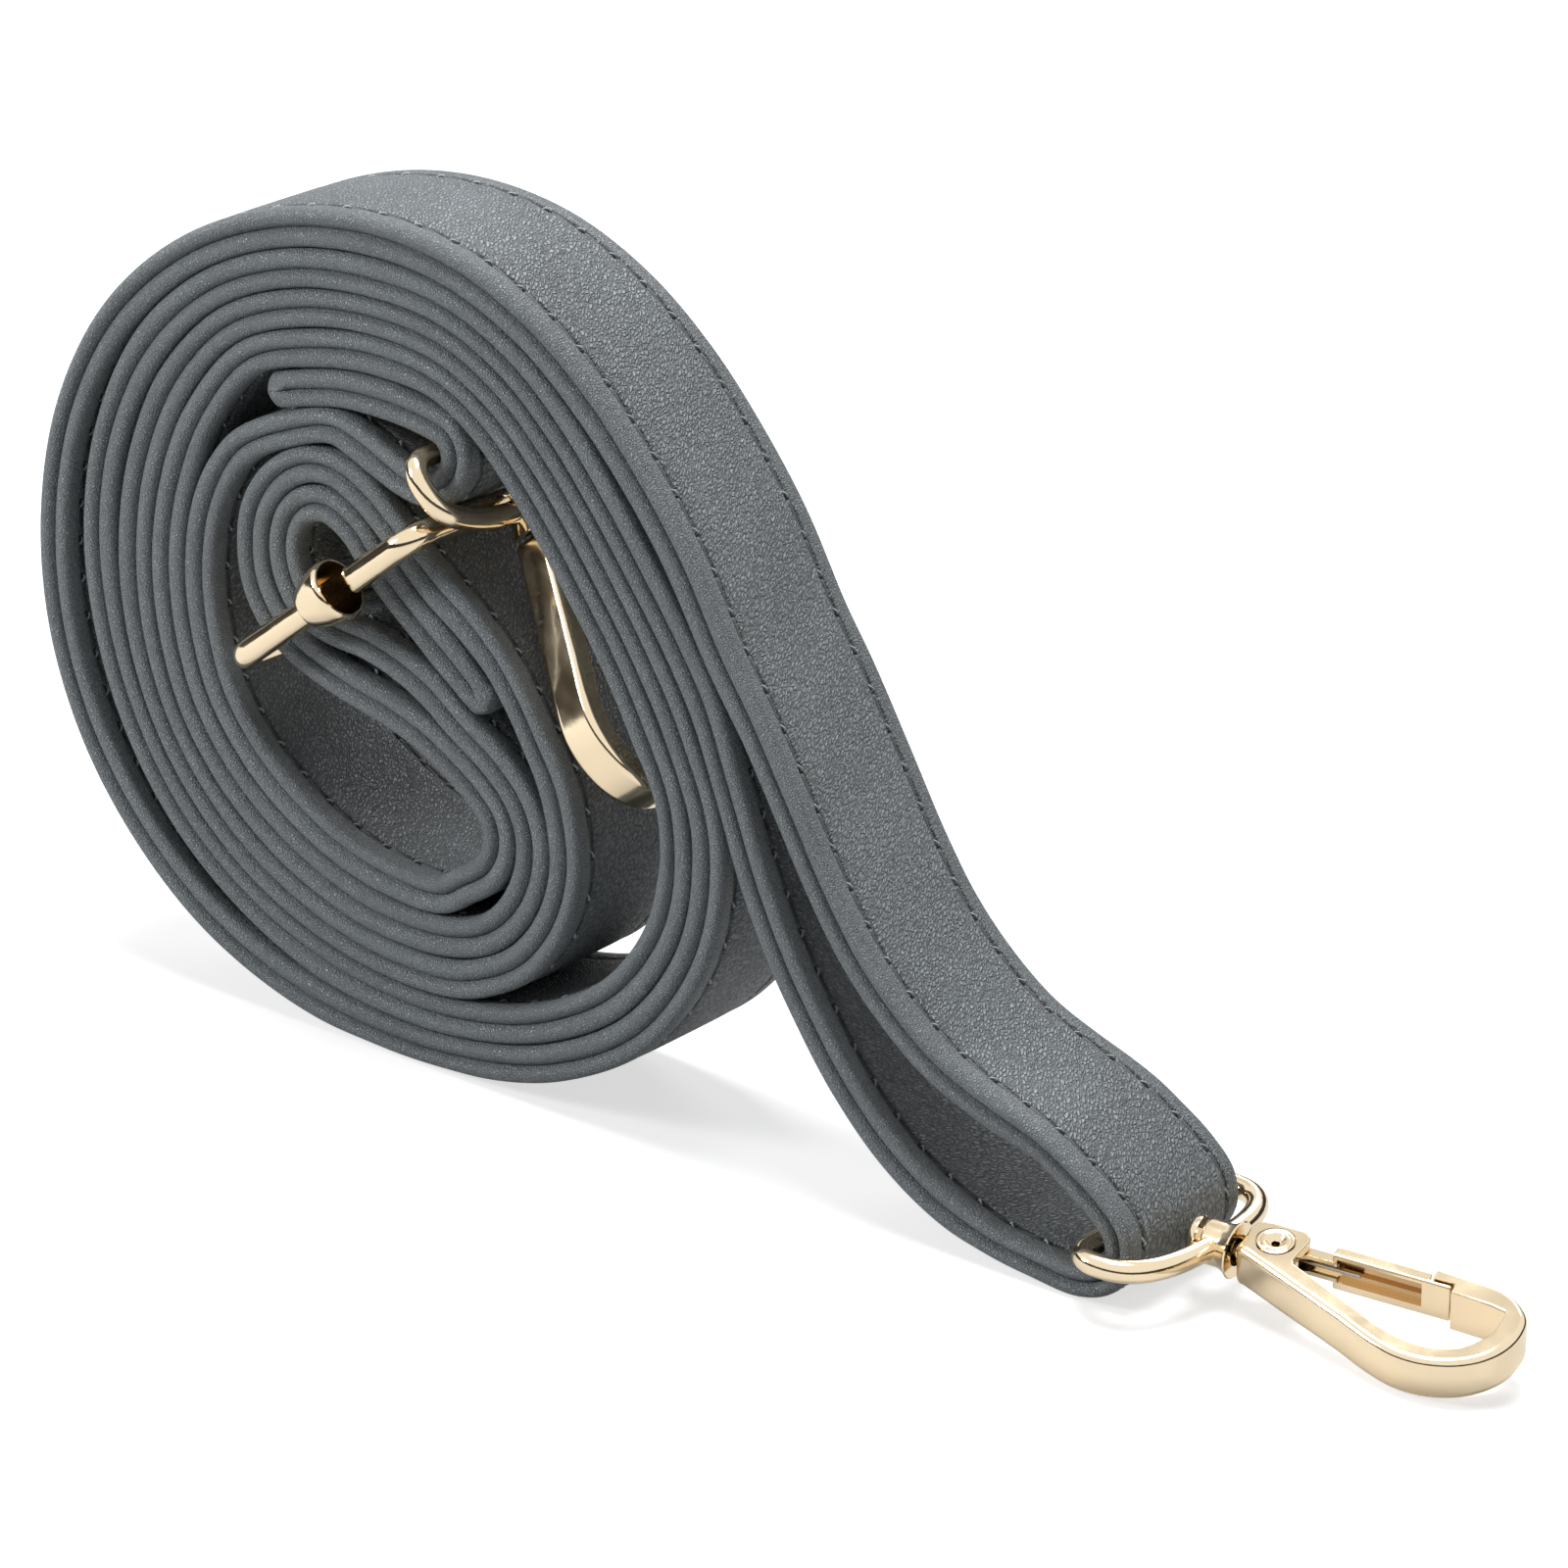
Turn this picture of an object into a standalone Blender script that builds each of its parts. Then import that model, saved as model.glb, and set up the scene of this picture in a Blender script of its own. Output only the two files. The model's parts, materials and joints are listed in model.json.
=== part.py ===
"""A detachable bag strap, rolled up for storage, with a swivel hook at each end and a slider.

Metres, +Z up. The coil stands on its rim, its axis along Y, and the strap's tail runs to +X.
The strap is two leather plies, laid face to face and followed along one hand-drawn route.
"""
import math

import bmesh
import bpy
from mathutils import Matrix, Vector

# Strap
STRAP_WIDTH = 0.020
PLY_THICKNESS = 0.00145
PLY_GAP = 0.0003
LAP_GAP = 0.0003
STRAP_THICKNESS = 2 * PLY_THICKNESS + PLY_GAP
STRAP_LEAN = math.radians(-1.3)
CHORD_SAG = 0.00005
SPLINE_STEPS = 14

# Wire and running fits
WIRE_RADIUS = 0.0011
FIT_GAP = 0.0003
RING_SIDE_GAP = 0.0012
SLIDER_SIDE_GAP = 0.00105
CUT_OVERRUN = 0.001
WIRE_SIDES = 10
TURNED_SIDES = 20
ARCH_STEPS = 16
SMOOTH_ANGLE = math.radians(35.0)
WIRE_SMOOTH_ANGLE = math.radians(60.0)
BEVEL_ANGLE = math.radians(40.0)

# Slider
SLIDER_LENGTH = 0.0256
SLIDER_CORNER_RADIUS = 0.0024
SLIDER_ANGLE = math.radians(44.4)
CENTER_BAR_RADIUS = 0.00143
CENTER_BAR_PLACE_SHARE = 0.525
COLLAR_WALL = 0.00045
COLLAR_LENGTH = 0.0042
COLLAR_PLAY = 0.00105
COLLAR_FLARE = 0.0004
COLLAR_INNER_GAP = 0.0004

# Ring and swivel, along the hook's axis from the ring's straight bar
RING_DEPTH = 0.0086
RING_CORNER_RADIUS = 0.0024
ARCH_FULLNESS = 0.75
BOSS_LENGTH = 0.0032
BOSS_RADIUS = 0.00215
BOSS_FLARE_RADIUS = 0.0028
BOSS_FLARE_LENGTH = 0.0008
SHANK_RADIUS = 0.001
SHANK_PLAY = 0.0005
HEAD_LENGTH = 0.0009
HEAD_RADIUS = 0.00215
HEAD_DOME = 0.0003
SWIVEL_PLAY = 0.00062

# Hook body, gate and rivet, along the hook's axis from the gate's rivet
HOOK_THICKNESS = 0.0044
HEEL_LENGTH = 0.0029
HEEL_HALF_WIDTH = 0.0025
CHEEK_REACH = 0.0024
HOOK_REACH = 0.0248
HOOK_DEPTH = 0.0101
HOOK_BAR_WIDTH = 0.0023
HOOK_EDGE = 0.00025
SLOT_HEIGHT = 0.0026
SLOT_FRONT = 0.0019
SEAT_LENGTH = 0.0030
HOOK_OUTER_SHARES = [
    (0.36, 0.73), (0.53, 0.925), (0.63, 0.995), (0.735, 0.99), (0.84, 0.905), (0.92, 0.755),
    (0.975, 0.55), (1.0, 0.29),
]
HOOK_INNER_SHARES = [(0.845, 0.62), (0.77, 0.735), (0.68, 0.77), (0.57, 0.725), (0.385, 0.525)]
HOOK_CREST_SHARES = [(0.15, 1.13), (0.75, 0.45), (1.6, 0.05), (2.6, 0.0)]
SEAT_CORNER_SHARES = (0.7, 1.1)
SEAT_DROP_SHARE = 1.25
GATE_HEIGHT = 0.0040
GATE_NECK_HEIGHT = 0.0020
GATE_WALL = 0.00045
GATE_WIDTH = 0.0028
GATE_EYE_RADIUS = 0.0016
GATE_NECK_SHARE = 0.75
NOSE_STEP_DEPTH = 0.00105
NOSE_LIP_LENGTH = 0.0022
RIVET_RADIUS = 0.00075
RIVET_BORE_RADIUS = 0.0004
RIVET_HEAD_RADIUS = 0.0016
RIVET_HEAD_LENGTH = 0.00045
RIVET_HEAD_RISE = 0.0002
SPRING_WIRE_RADIUS = 0.0002
SPRING_REST_SHARE = 0.7

# Places of the two rings' bars and of the slider, and the way each hook lies, in the route's shares
EYE_A_SHARES = (-7.4, 61.0)
EYE_B_SHARES = (76.9, 5.9)
SLIDER_TOP_SHARES = (-6.0, 53.7)
HOOK_A_PITCH = math.radians(46.0)
HOOK_B_PITCH = math.radians(-1.0)
HOOK_B_YAW = math.radians(8.0)
HOOK_B_ROLL = math.radians(17.0)

# The coil opens until its laps lie a gap apart, its eyes take the rings, its pocket takes hook A
# and its middle takes the slider. Each of these is the room that the route leaves, in its shares.
LAP_SHARE = 3.675
EYE_SHARE = 3.15
POCKET_SHARE = 9.0
POCKET_LENGTH_SHARE = 26.1
SLIDER_SHARE = 26.9
COIL_CENTER_SHARES = (-7.0, 42.0)
ROUTE_SHARE = max(
    (STRAP_THICKNESS + LAP_GAP) / LAP_SHARE,
    (WIRE_RADIUS + FIT_GAP + STRAP_THICKNESS / 2) / EYE_SHARE,
    (HOOK_THICKNESS + STRAP_THICKNESS + 2 * FIT_GAP) / POCKET_SHARE,
    HOOK_REACH / POCKET_LENGTH_SHARE,
    SLIDER_LENGTH / SLIDER_SHARE,
)

# The strap's route, chosen by hand: x and z in route shares, or an angle and a radius about the coil
END_A_SHARES = [
    (-26.9, 62.1), (-24, 63.1), (-21, 64.0), (-18, 64.7), (-14, 65.0), (-10.6, 64.95),
]
EYE_TURN_CENTER_SHARES = (-7.35, 61.1)
EYE_TURN_SHARE = 3.5
EYE_EXIT_SHARES = [(-9.9, 57.9), (-12.3, 58.8), (-15.0, 59.9), (-18.6, 60.75)]
INNER_LAP_SHARES = [
    (135, 23.9), (150, 26.2), (165, 26.3), (180, 25.7), (195, 25.1), (210, 24.8), (225, 24.3),
    (240, 24.1), (255, 24.4), (270, 25.1), (285, 26.0),
]
SLIDER_LAP_SHARES = [
    (2.2, 18.6), (4.9, 20.9), (5.9, 23.7), (5.2, 26.5), (3.0, 28.7), (-0.2, 30.7), (-4, 32.6),
    (-8, 33.9), (-12, 34.7), (-16, 35.6), (-20, 36.9), (-23.4, 39.0), (-25.8, 42.2),
    (-26.9, 46.2), (-26.7, 50), (-24.7, 53.8), (-21.4, 56.1), (-17.8, 56.4), (-14.3, 55.0),
    (-11, 52.8), (-7.6, 50.3), (-4.3, 48.0), (-0.4, 45.7), (3.2, 42.9), (6.3, 39.5),
    (9.1, 35.7), (11.6, 32), (13.2, 28), (14.0, 24), (13.7, 20), (12.3, 16), (9.9, 12.6),
    (6.6, 10.2),
]
OUTER_LAP_SHARES = [
    (645, 34.8), (630, 33.8), (615, 33.0), (600, 32.7), (585, 32.7), (570, 33.0), (555, 33.4),
    (540, 34.0), (525, 34.9), (510, 35.8), (495, 35.9), (480, 34.1), (465, 32.1), (450, 30.4),
    (435, 28.05), (420, 26.0), (405, 25.1), (390, 25.6), (375, 27.8), (360, 31.95), (345, 38.0),
    (330, 42.5), (315, 44.7), (300, 44.2), (285, 42.7), (270, 41.7), (255, 41.5), (240, 41.7),
    (225, 42.0), (210, 42.7), (195, 43.5), (180, 44.2), (165, 44.9), (150, 45.0), (135, 44.0),
    (120, 42.3), (105, 40.4), (90, 38.4), (75, 36.2), (60, 34.4), (45, 33.6), (30, 34.3),
]
TAIL_SHARES = [
    (28.5, 51.0), (32.5, 46.0), (38.0, 38.4), (43.0, 31.4), (47.5, 26.0), (52.5, 21.6),
    (58, 18.1), (64, 15.9), (70, 14.2), (73.7, 12.4), (77.1, 10.4), (79.6, 8.1), (80.2, 5.6),
    (79.0, 3.3), (76.3, 2.1), (71, 2.3), (66, 2.9), (60, 4.7), (54, 8.0), (48, 13.1),
    (43.5, 18.2), (39.5, 23.4), (35.5, 29.8),
]
RETURN_LAP_SHARES = [
    (-5, 38.1), (6, 34.5), (15, 32.0), (30, 29.4), (45, 28.8), (60, 29.8), (75, 31.9),
    (90, 34.2), (105, 35.95), (120, 38.1), (135, 39.8), (150, 40.3), (165, 39.7), (180, 38.7),
    (195, 37.6), (210, 36.9), (225, 36.6), (240, 36.5), (255, 36.8), (270, 37.5), (285, 38.7),
    (300, 39.9), (315, 40.2), (330, 38.1), (345, 33.3), (360, 27.35), (375, 23.7), (390, 21.75),
    (405, 21.35), (420, 22.2), (435, 24.2), (450, 26.6), (465, 28.3), (480, 30.0), (495, 32.0),
    (510, 31.5), (525, 30.6), (540, 29.9), (555, 29.3), (570, 29.0), (585, 28.6), (600, 28.4),
    (615, 28.7), (630, 29.5), (645, 30.3),
]
END_B_SHARES = [
    (5.6, 14.6), (8.6, 18.0), (9.9, 22.0), (9.6, 26), (7.7, 29.55), (4.4, 32.45), (-0.3, 35.15),
    (-4.2, 37.6), (-8.1, 39.2), (-12, 40.1), (-16, 40.4), (-19.2, 41.3), (-21.7, 43.7),
    (-22.9, 47), (-22.5, 50.0), (-20.9, 51.9), (-18.3, 52.5), (-15.1, 51.1), (-12.4, 48.6),
    (-8.3, 45.4), (-4.4, 42.75), (-0.5, 40.1), (3.1, 37.4),
]


def clear_scene():
    for old in list(bpy.data.objects):
        bpy.data.objects.remove(old, do_unlink=True)


def principled(name, color, roughness, metallic):
    """A plain Principled material."""
    material = bpy.data.materials.new(name)
    material.use_nodes = True
    shader = material.node_tree.nodes["Principled BSDF"]
    shader.inputs["Base Color"].default_value = (*color, 1.0)
    shader.inputs["Roughness"].default_value = roughness
    shader.inputs["Metallic"].default_value = metallic
    return material


def empty(name, frame, parent=None):
    """An empty whose axes are a moving piece's own, placed by a matrix in its parent's axes."""
    holder = bpy.data.objects.new(name, None)
    bpy.context.collection.objects.link(holder)
    holder.parent = parent
    holder.matrix_local = frame
    return holder


def skin(name, rings, parent, material=None, loop=False):
    """A closed solid through rings of points: capped at both ends, or joined end to end."""
    mesh = bpy.data.meshes.new(name)
    shape = bmesh.new()
    rows = [[shape.verts.new(point) for point in ring] for ring in rings]
    pairs = list(zip(rows, rows[1:]))
    if loop:
        pairs.append((rows[-1], rows[0]))
    else:
        shape.faces.new(rows[0])
        shape.faces.new(rows[-1])
    for one, two in pairs:
        for k in range(len(one)):
            shape.faces.new((one[k - 1], one[k], two[k], two[k - 1]))
    bmesh.ops.recalc_face_normals(shape, faces=shape.faces)
    shape.to_mesh(mesh)
    shape.free()
    solid = bpy.data.objects.new(name, mesh)
    bpy.context.collection.objects.link(solid)
    solid.parent = parent
    if material:
        mesh.materials.append(material)
    return solid


def shade_round(solid, angle):
    solid.data.shade_smooth()
    solid.data.set_sharp_from_angle(angle=angle)


def combine(solid, helper, operation):
    """Adds a helper shape to a solid, or takes it away, and keeps the helper out of the part."""
    helper.hide_render = True
    helper.display_type = "WIRE"
    step = solid.modifiers.new(operation.title(), "BOOLEAN")
    step.operation = operation
    step.object = helper
    step.solver = "EXACT"


def bevelled(solid, width):
    step = solid.modifiers.new("Edges", "BEVEL")
    step.width = width
    step.segments = 1
    step.limit_method = "ANGLE"
    step.angle_limit = BEVEL_ANGLE


def circle(radius, sides):
    return [
        (radius * math.cos(2 * math.pi * k / sides), radius * math.sin(2 * math.pi * k / sides))
        for k in range(sides)
    ]


def turned(name, profile, axis, parent, material=None, loop=False, center=(0, 0, 0), sides=TURNED_SIDES):
    """A turned solid: (place along the axis, radius) pairs about X, Y or Z of its parent."""
    order = {"X": (0, 1, 2), "Y": (1, 2, 0), "Z": (2, 0, 1)}[axis]
    rings = []
    for along, radius in profile:
        ring = []
        for one, two in circle(radius, sides):
            point = [0, 0, 0]
            point[order[0]] = center[order[0]] + along
            point[order[1]] = center[order[1]] + one
            point[order[2]] = center[order[2]] + two
            ring.append(point)
        rings.append(ring)
    solid = skin(name, rings, parent, material, loop)
    shade_round(solid, SMOOTH_ANGLE)
    return solid


def plate(name, outline, low, high, parent, material=None):
    """A flat piece: an outline in X and Y, from one height to another."""
    rings = [[(x, y, height) for x, y in outline] for height in (low, high)]
    return skin(name, rings, parent, material)


def wire(name, path, radius, parent, material, loop, sides=WIRE_SIDES):
    """A round wire along a flat path in X and Y."""
    rings = []
    count = len(path)
    for k in range(count):
        before = Vector(path[k - 1 if loop or k else 0])
        after = Vector(path[(k + 1) % count if loop else min(k + 1, count - 1)])
        way = (after - before).normalized()
        side = Vector((-way.y, way.x))
        middle = Vector(path[k])
        ring = []
        for across, up in circle(radius, sides):
            spot = middle + side * across
            ring.append((spot.x, spot.y, up))
        rings.append(ring)
    solid = skin(name, rings, parent, material, loop)
    shade_round(solid, WIRE_SMOOTH_ANGLE)
    return solid


def arc(center, radius, start, end, count):
    """Points along an arc, its angles in degrees."""
    points = []
    for k in range(count + 1):
        angle = math.radians(start + (end - start) * k / count)
        points.append((center[0] + radius * math.cos(angle), center[1] + radius * math.sin(angle)))
    return points


def route_place(shares):
    """A place of the route in metres, from the coil's centre, leant as the rolled strap leans."""
    offset = Vector((shares[0] - COIL_CENTER_SHARES[0], shares[1] - COIL_CENTER_SHARES[1]))
    offset *= ROUTE_SHARE
    return offset @ Matrix.Rotation(-STRAP_LEAN, 2)


def lap(shares):
    return [
        (
            COIL_CENTER_SHARES[0] + radius * math.cos(math.radians(angle)),
            COIL_CENTER_SHARES[1] + radius * math.sin(math.radians(angle)),
        )
        for angle, radius in shares
    ]


def spline(points, steps):
    """A smooth curve through the points, with knots spaced by the root of their distance."""
    padded = [points[0] * 2 - points[1], *points, points[-1] * 2 - points[-2]]
    curve = []
    for four in zip(padded, padded[1:], padded[2:], padded[3:]):
        knots = [0.0]
        for one, two in zip(four, four[1:]):
            knots.append(knots[-1] + math.sqrt((two - one).length))
        for k in range(steps):
            place = knots[1] + (knots[2] - knots[1]) * k / steps
            level = list(four)
            for reach in (1, 2, 3):
                level = [
                    blend(level[j], level[j + 1], knots, j, reach, place)
                    for j in range(len(level) - 1)
                ]
            curve.append(level[0])
    curve.append(points[-1])
    return curve


def blend(one, two, knots, j, reach, place):
    """One step of the spline's triangle, over the knots that its points share."""
    low, high = (j, j + reach) if reach < 3 else (1, 2)
    if reach == 2:
        low, high = j, j + 2
    share = (place - knots[low]) / (knots[high] - knots[low])
    return one * (1 - share) + two * share


def strap_route():
    eye = arc(EYE_TURN_CENTER_SHARES, EYE_TURN_SHARE, 90, -90, 6)
    shares = END_A_SHARES + eye + EYE_EXIT_SHARES + lap(INNER_LAP_SHARES) + SLIDER_LAP_SHARES
    shares += lap(OUTER_LAP_SHARES) + TAIL_SHARES + lap(RETURN_LAP_SHARES) + END_B_SHARES
    return spline([route_place(point) for point in shares], SPLINE_STEPS)


def turn_radius(one, two, three):
    """The radius of the circle through three points."""
    first, second, third = two - one, three - two, three - one
    area = abs(first.x * third.y - first.y * third.x)
    if area == 0:
        return math.inf
    return first.length * second.length * third.length / (2 * area)


def thinned(curve):
    """The curve's points, as far apart as its bends allow."""
    kept = [0]
    travel = 0.0
    for k in range(1, len(curve) - 1):
        travel += (curve[k] - curve[k - 1]).length
        reach = math.sqrt(8 * turn_radius(curve[k - 1], curve[k], curve[k + 1]) * CHORD_SAG)
        if travel + (curve[k + 1] - curve[k]).length > reach:
            kept.append(k)
            travel = 0.0
    kept.append(len(curve) - 1)
    return [curve[k] for k in kept]


def normals(curve):
    sides = []
    for k in range(len(curve)):
        way = curve[min(k + 1, len(curve) - 1)] - curve[max(k - 1, 0)]
        way.normalize()
        sides.append(Vector((-way.y, way.x)))
    return sides


def least_lap_gap(curve):
    """The least clear distance between two laps of the strap."""
    window = 3 * STRAP_THICKNESS
    travel = [0.0]
    for one, two in zip(curve, curve[1:]):
        travel.append(travel[-1] + (two - one).length)
    least = math.inf
    for k, point in enumerate(curve):
        for j in range(k + 1, len(curve)):
            if travel[j] - travel[k] > window:
                least = min(least, (curve[j] - point).length)
    return least - STRAP_THICKNESS, travel[-1]


def ply(name, curve, low, high, parent, material):
    """One ply: the strap's width, from one distance off the middle line to another."""
    half = STRAP_WIDTH / 2
    rings = []
    for point, side in zip(curve, normals(curve)):
        near, far = point + side * low, point + side * high
        rings.append([(near.x, -half, near.y), (near.x, half, near.y),
                      (far.x, half, far.y), (far.x, -half, far.y)])
    solid = skin(name, rings, parent, material)
    shade_round(solid, SMOOTH_ANGLE)
    return solid


def strap(parent, material_face, material_back):
    curve = strap_route()
    gap, length = least_lap_gap(curve[::4])
    print(f"strap {length * 1000:.0f} mm long, least gap between laps {gap * 1000:.2f} mm")
    line = thinned(curve)
    inner = PLY_GAP / 2
    outer = inner + PLY_THICKNESS
    ply("strap_face_ply", line, -outer, -inner, parent, material_face)
    ply("strap_back_ply", line, inner, outer, parent, material_back)


def frame_at(place, pitch):
    """A frame at a place of the route, its X turned down from the strap's own by the pitch."""
    spot = route_place(place)
    turn = Matrix.Rotation(pitch - STRAP_LEAN, 4, "Y")
    return Matrix.Translation((spot.x, 0, spot.y)) @ turn


def slider(parent, metal):
    """The slider: a closed wire frame round the strap, and a loose bar across its middle."""
    half = STRAP_WIDTH / 2 + SLIDER_SIDE_GAP + WIRE_RADIUS
    holder = empty("slider_place", frame_at(SLIDER_TOP_SHARES, -SLIDER_ANGLE), parent)
    far, corner = -SLIDER_LENGTH, SLIDER_CORNER_RADIUS
    path = arc((-corner, half - corner), corner, 0, 90, 4)
    path += arc((far + corner, half - corner), corner, 90, 180, 4)
    path += arc((far + corner, corner - half), corner, 180, 270, 4)
    path += arc((-corner, corner - half), corner, 270, 360, 4)
    wire("slider_frame", path, WIRE_RADIUS, holder, metal, loop=True)

    middle = far * (1 - CENTER_BAR_PLACE_SHARE)
    bar_holder = empty("slider_bar_place", Matrix.Translation((middle, 0, 0)), holder)
    bore = WIRE_RADIUS + COLLAR_PLAY
    seat = half - WIRE_RADIUS - COLLAR_INNER_GAP + bore
    bar_end = seat - bore
    bar = turned("slider_center_bar", [(-bar_end, CENTER_BAR_RADIUS), (bar_end, CENTER_BAR_RADIUS)],
                 "Y", bar_holder, metal)
    small = bore + COLLAR_WALL
    reach = COLLAR_LENGTH / 2
    for side in (-1, 1):
        spot = (0, side * seat, 0)
        outside = [(-reach, small - COLLAR_FLARE / 2), (0, small), (reach, small + COLLAR_FLARE)]
        combine(bar, turned("collar_outside", outside, "X", bar_holder, center=spot), "UNION")
        ends = (-reach - CUT_OVERRUN, -reach, 0, reach, reach + CUT_OVERRUN)
        widths = (bore - COLLAR_FLARE / 2, bore - COLLAR_FLARE / 2, bore, bore + COLLAR_FLARE,
                  bore + COLLAR_FLARE)
        inside = list(zip(ends, widths))
        combine(bar, turned("collar_bore", inside, "X", bar_holder, center=spot), "DIFFERENCE")


def ring(tag, holder, metal):
    """The D ring: a straight bar in the strap's eye, an arch, and the swivel's boss at its top."""
    half = STRAP_WIDTH / 2 + RING_SIDE_GAP + WIRE_RADIUS
    corner = RING_CORNER_RADIUS
    crown = RING_DEPTH - corner
    arch = []
    for k in range(1, ARCH_STEPS):
        angle = math.pi * k / ARCH_STEPS
        across = math.copysign(abs(math.cos(angle)) ** ARCH_FULLNESS, math.cos(angle))
        arch.append((corner + crown * math.sin(angle) ** ARCH_FULLNESS, half * across))
    path = arc((corner, corner - half), corner, 270, 180, 4)
    path += arc((corner, half - corner), corner, 180, 90, 4)
    path += arch
    loop = wire(f"hook_{tag}_ring", path, WIRE_RADIUS, holder, metal, loop=True)
    start = RING_DEPTH - BOSS_LENGTH / 2
    stop = RING_DEPTH + BOSS_LENGTH / 2
    boss = turned(f"boss_{tag}", [(start, BOSS_RADIUS), (stop - BOSS_FLARE_LENGTH, BOSS_RADIUS),
                                  (stop, BOSS_FLARE_RADIUS)], "X", holder)
    combine(loop, boss, "UNION")
    bore = SHANK_RADIUS + SHANK_PLAY
    bore_cut = turned(f"boss_bore_{tag}", [(start - CUT_OVERRUN, bore), (stop + CUT_OVERRUN, bore)],
                      "X", holder)
    combine(loop, bore_cut, "DIFFERENCE")


def swivel_post(tag, holder, metal):
    """The headed post: its head inside the ring, its shank through the boss into the hook's heel."""
    head_end = -BOSS_LENGTH / 2 - SWIVEL_PLAY
    heel = BOSS_LENGTH / 2 + SWIVEL_PLAY
    tip = heel + HEEL_LENGTH - GATE_EYE_RADIUS - 2 * FIT_GAP
    turned(f"hook_{tag}_swivel_post", [
        (head_end - HEAD_LENGTH, HEAD_RADIUS - HEAD_DOME),
        (head_end - HEAD_LENGTH + HEAD_DOME, HEAD_RADIUS),
        (head_end, HEAD_RADIUS),
        (head_end, SHANK_RADIUS),
        (tip, SHANK_RADIUS),
    ], "X", holder, metal)


def hook_outline():
    """The cast body's outline from the rivet: heel, near cheek, bar, bend, seat, nose and fork."""
    reach, depth, bar = HOOK_REACH, HOOK_DEPTH, HOOK_BAR_WIDTH
    nose_top = HEEL_HALF_WIDTH - FIT_GAP
    lip = nose_top - NOSE_STEP_DEPTH
    nose = gate_tip() - NOSE_LIP_LENGTH + FIT_GAP
    seat_u = reach - bar
    seat_top = nose_top - bar * SEAT_DROP_SHARE
    outer = [(reach * u, -depth * v) for u, v in HOOK_OUTER_SHARES]
    crest = [(reach - bar * u, nose_top - bar * v) for u, v in HOOK_CREST_SHARES]
    heel = [(-HEEL_LENGTH, HEEL_HALF_WIDTH), (-HEEL_LENGTH, -HEEL_HALF_WIDTH)]
    nose_end = [(nose, nose_top), (nose, lip), (gate_tip() + FIT_GAP, lip),
                (gate_tip() + FIT_GAP, nose_top - bar)]
    seat = [(seat_u - bar * SEAT_CORNER_SHARES[0], nose_top - bar * SEAT_CORNER_SHARES[1]),
            (seat_u, seat_top), (seat_u, seat_top - SEAT_LENGTH)]
    inner = [(reach * u, -depth * v) for u, v in HOOK_INNER_SHARES]
    fork = [(CHEEK_REACH + FIT_GAP, -SLOT_FRONT - FIT_GAP), (CHEEK_REACH, -SLOT_FRONT + FIT_GAP),
            (CHEEK_REACH, HEEL_HALF_WIDTH)]
    return heel + outer + crest + nose_end + seat + inner + fork


def gate_tip():
    """How far the gate reaches from its rivet."""
    return HOOK_REACH - HOOK_BAR_WIDTH - SEAT_LENGTH - GATE_WIDTH


def hook_body(tag, holder, metal):
    half = HOOK_THICKNESS / 2
    body = plate(f"hook_{tag}_body", hook_outline(), -half, half, holder, metal)
    bevelled(body, HOOK_EDGE)
    slot = SLOT_HEIGHT / 2
    root = -GATE_EYE_RADIUS - FIT_GAP
    front = CHEEK_REACH + CUT_OVERRUN
    top = HEEL_HALF_WIDTH + CUT_OVERRUN
    opening = [(root, -SLOT_FRONT), (front, -SLOT_FRONT), (front, top), (root, top)]
    combine(body, plate(f"fork_slot_{tag}", opening, -slot, slot, holder), "DIFFERENCE")
    bore = SHANK_RADIUS + FIT_GAP
    ends = [(-HEEL_LENGTH - CUT_OVERRUN, bore), (root + FIT_GAP, bore)]
    combine(body, turned(f"post_bore_{tag}", ends, "X", holder), "DIFFERENCE")
    sink = half + RIVET_HEAD_RISE - RIVET_HEAD_LENGTH - FIT_GAP
    hole, wide = RIVET_RADIUS + FIT_GAP, RIVET_HEAD_RADIUS + FIT_GAP
    top = half + CUT_OVERRUN
    stepped = [(-top, wide), (-sink, wide), (-sink, hole), (sink, hole), (sink, wide), (top, wide)]
    combine(body, turned(f"rivet_hole_{tag}", stepped, "Z", holder), "DIFFERENCE")


def gate_rivet(tag, holder, metal):
    """The tubular rivet, its flared heads sunk into the two cheeks."""
    top = HOOK_THICKNESS / 2 + RIVET_HEAD_RISE
    under = top - RIVET_HEAD_LENGTH
    profile = [
        (-top, RIVET_BORE_RADIUS), (-top, RIVET_HEAD_RADIUS), (-under, RIVET_HEAD_RADIUS),
        (-under, RIVET_RADIUS), (under, RIVET_RADIUS), (under, RIVET_HEAD_RADIUS),
        (top, RIVET_HEAD_RADIUS), (top, RIVET_BORE_RADIUS),
    ]
    turned(f"hook_{tag}_gate_rivet", profile, "Z", holder, metal, loop=True)


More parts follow.
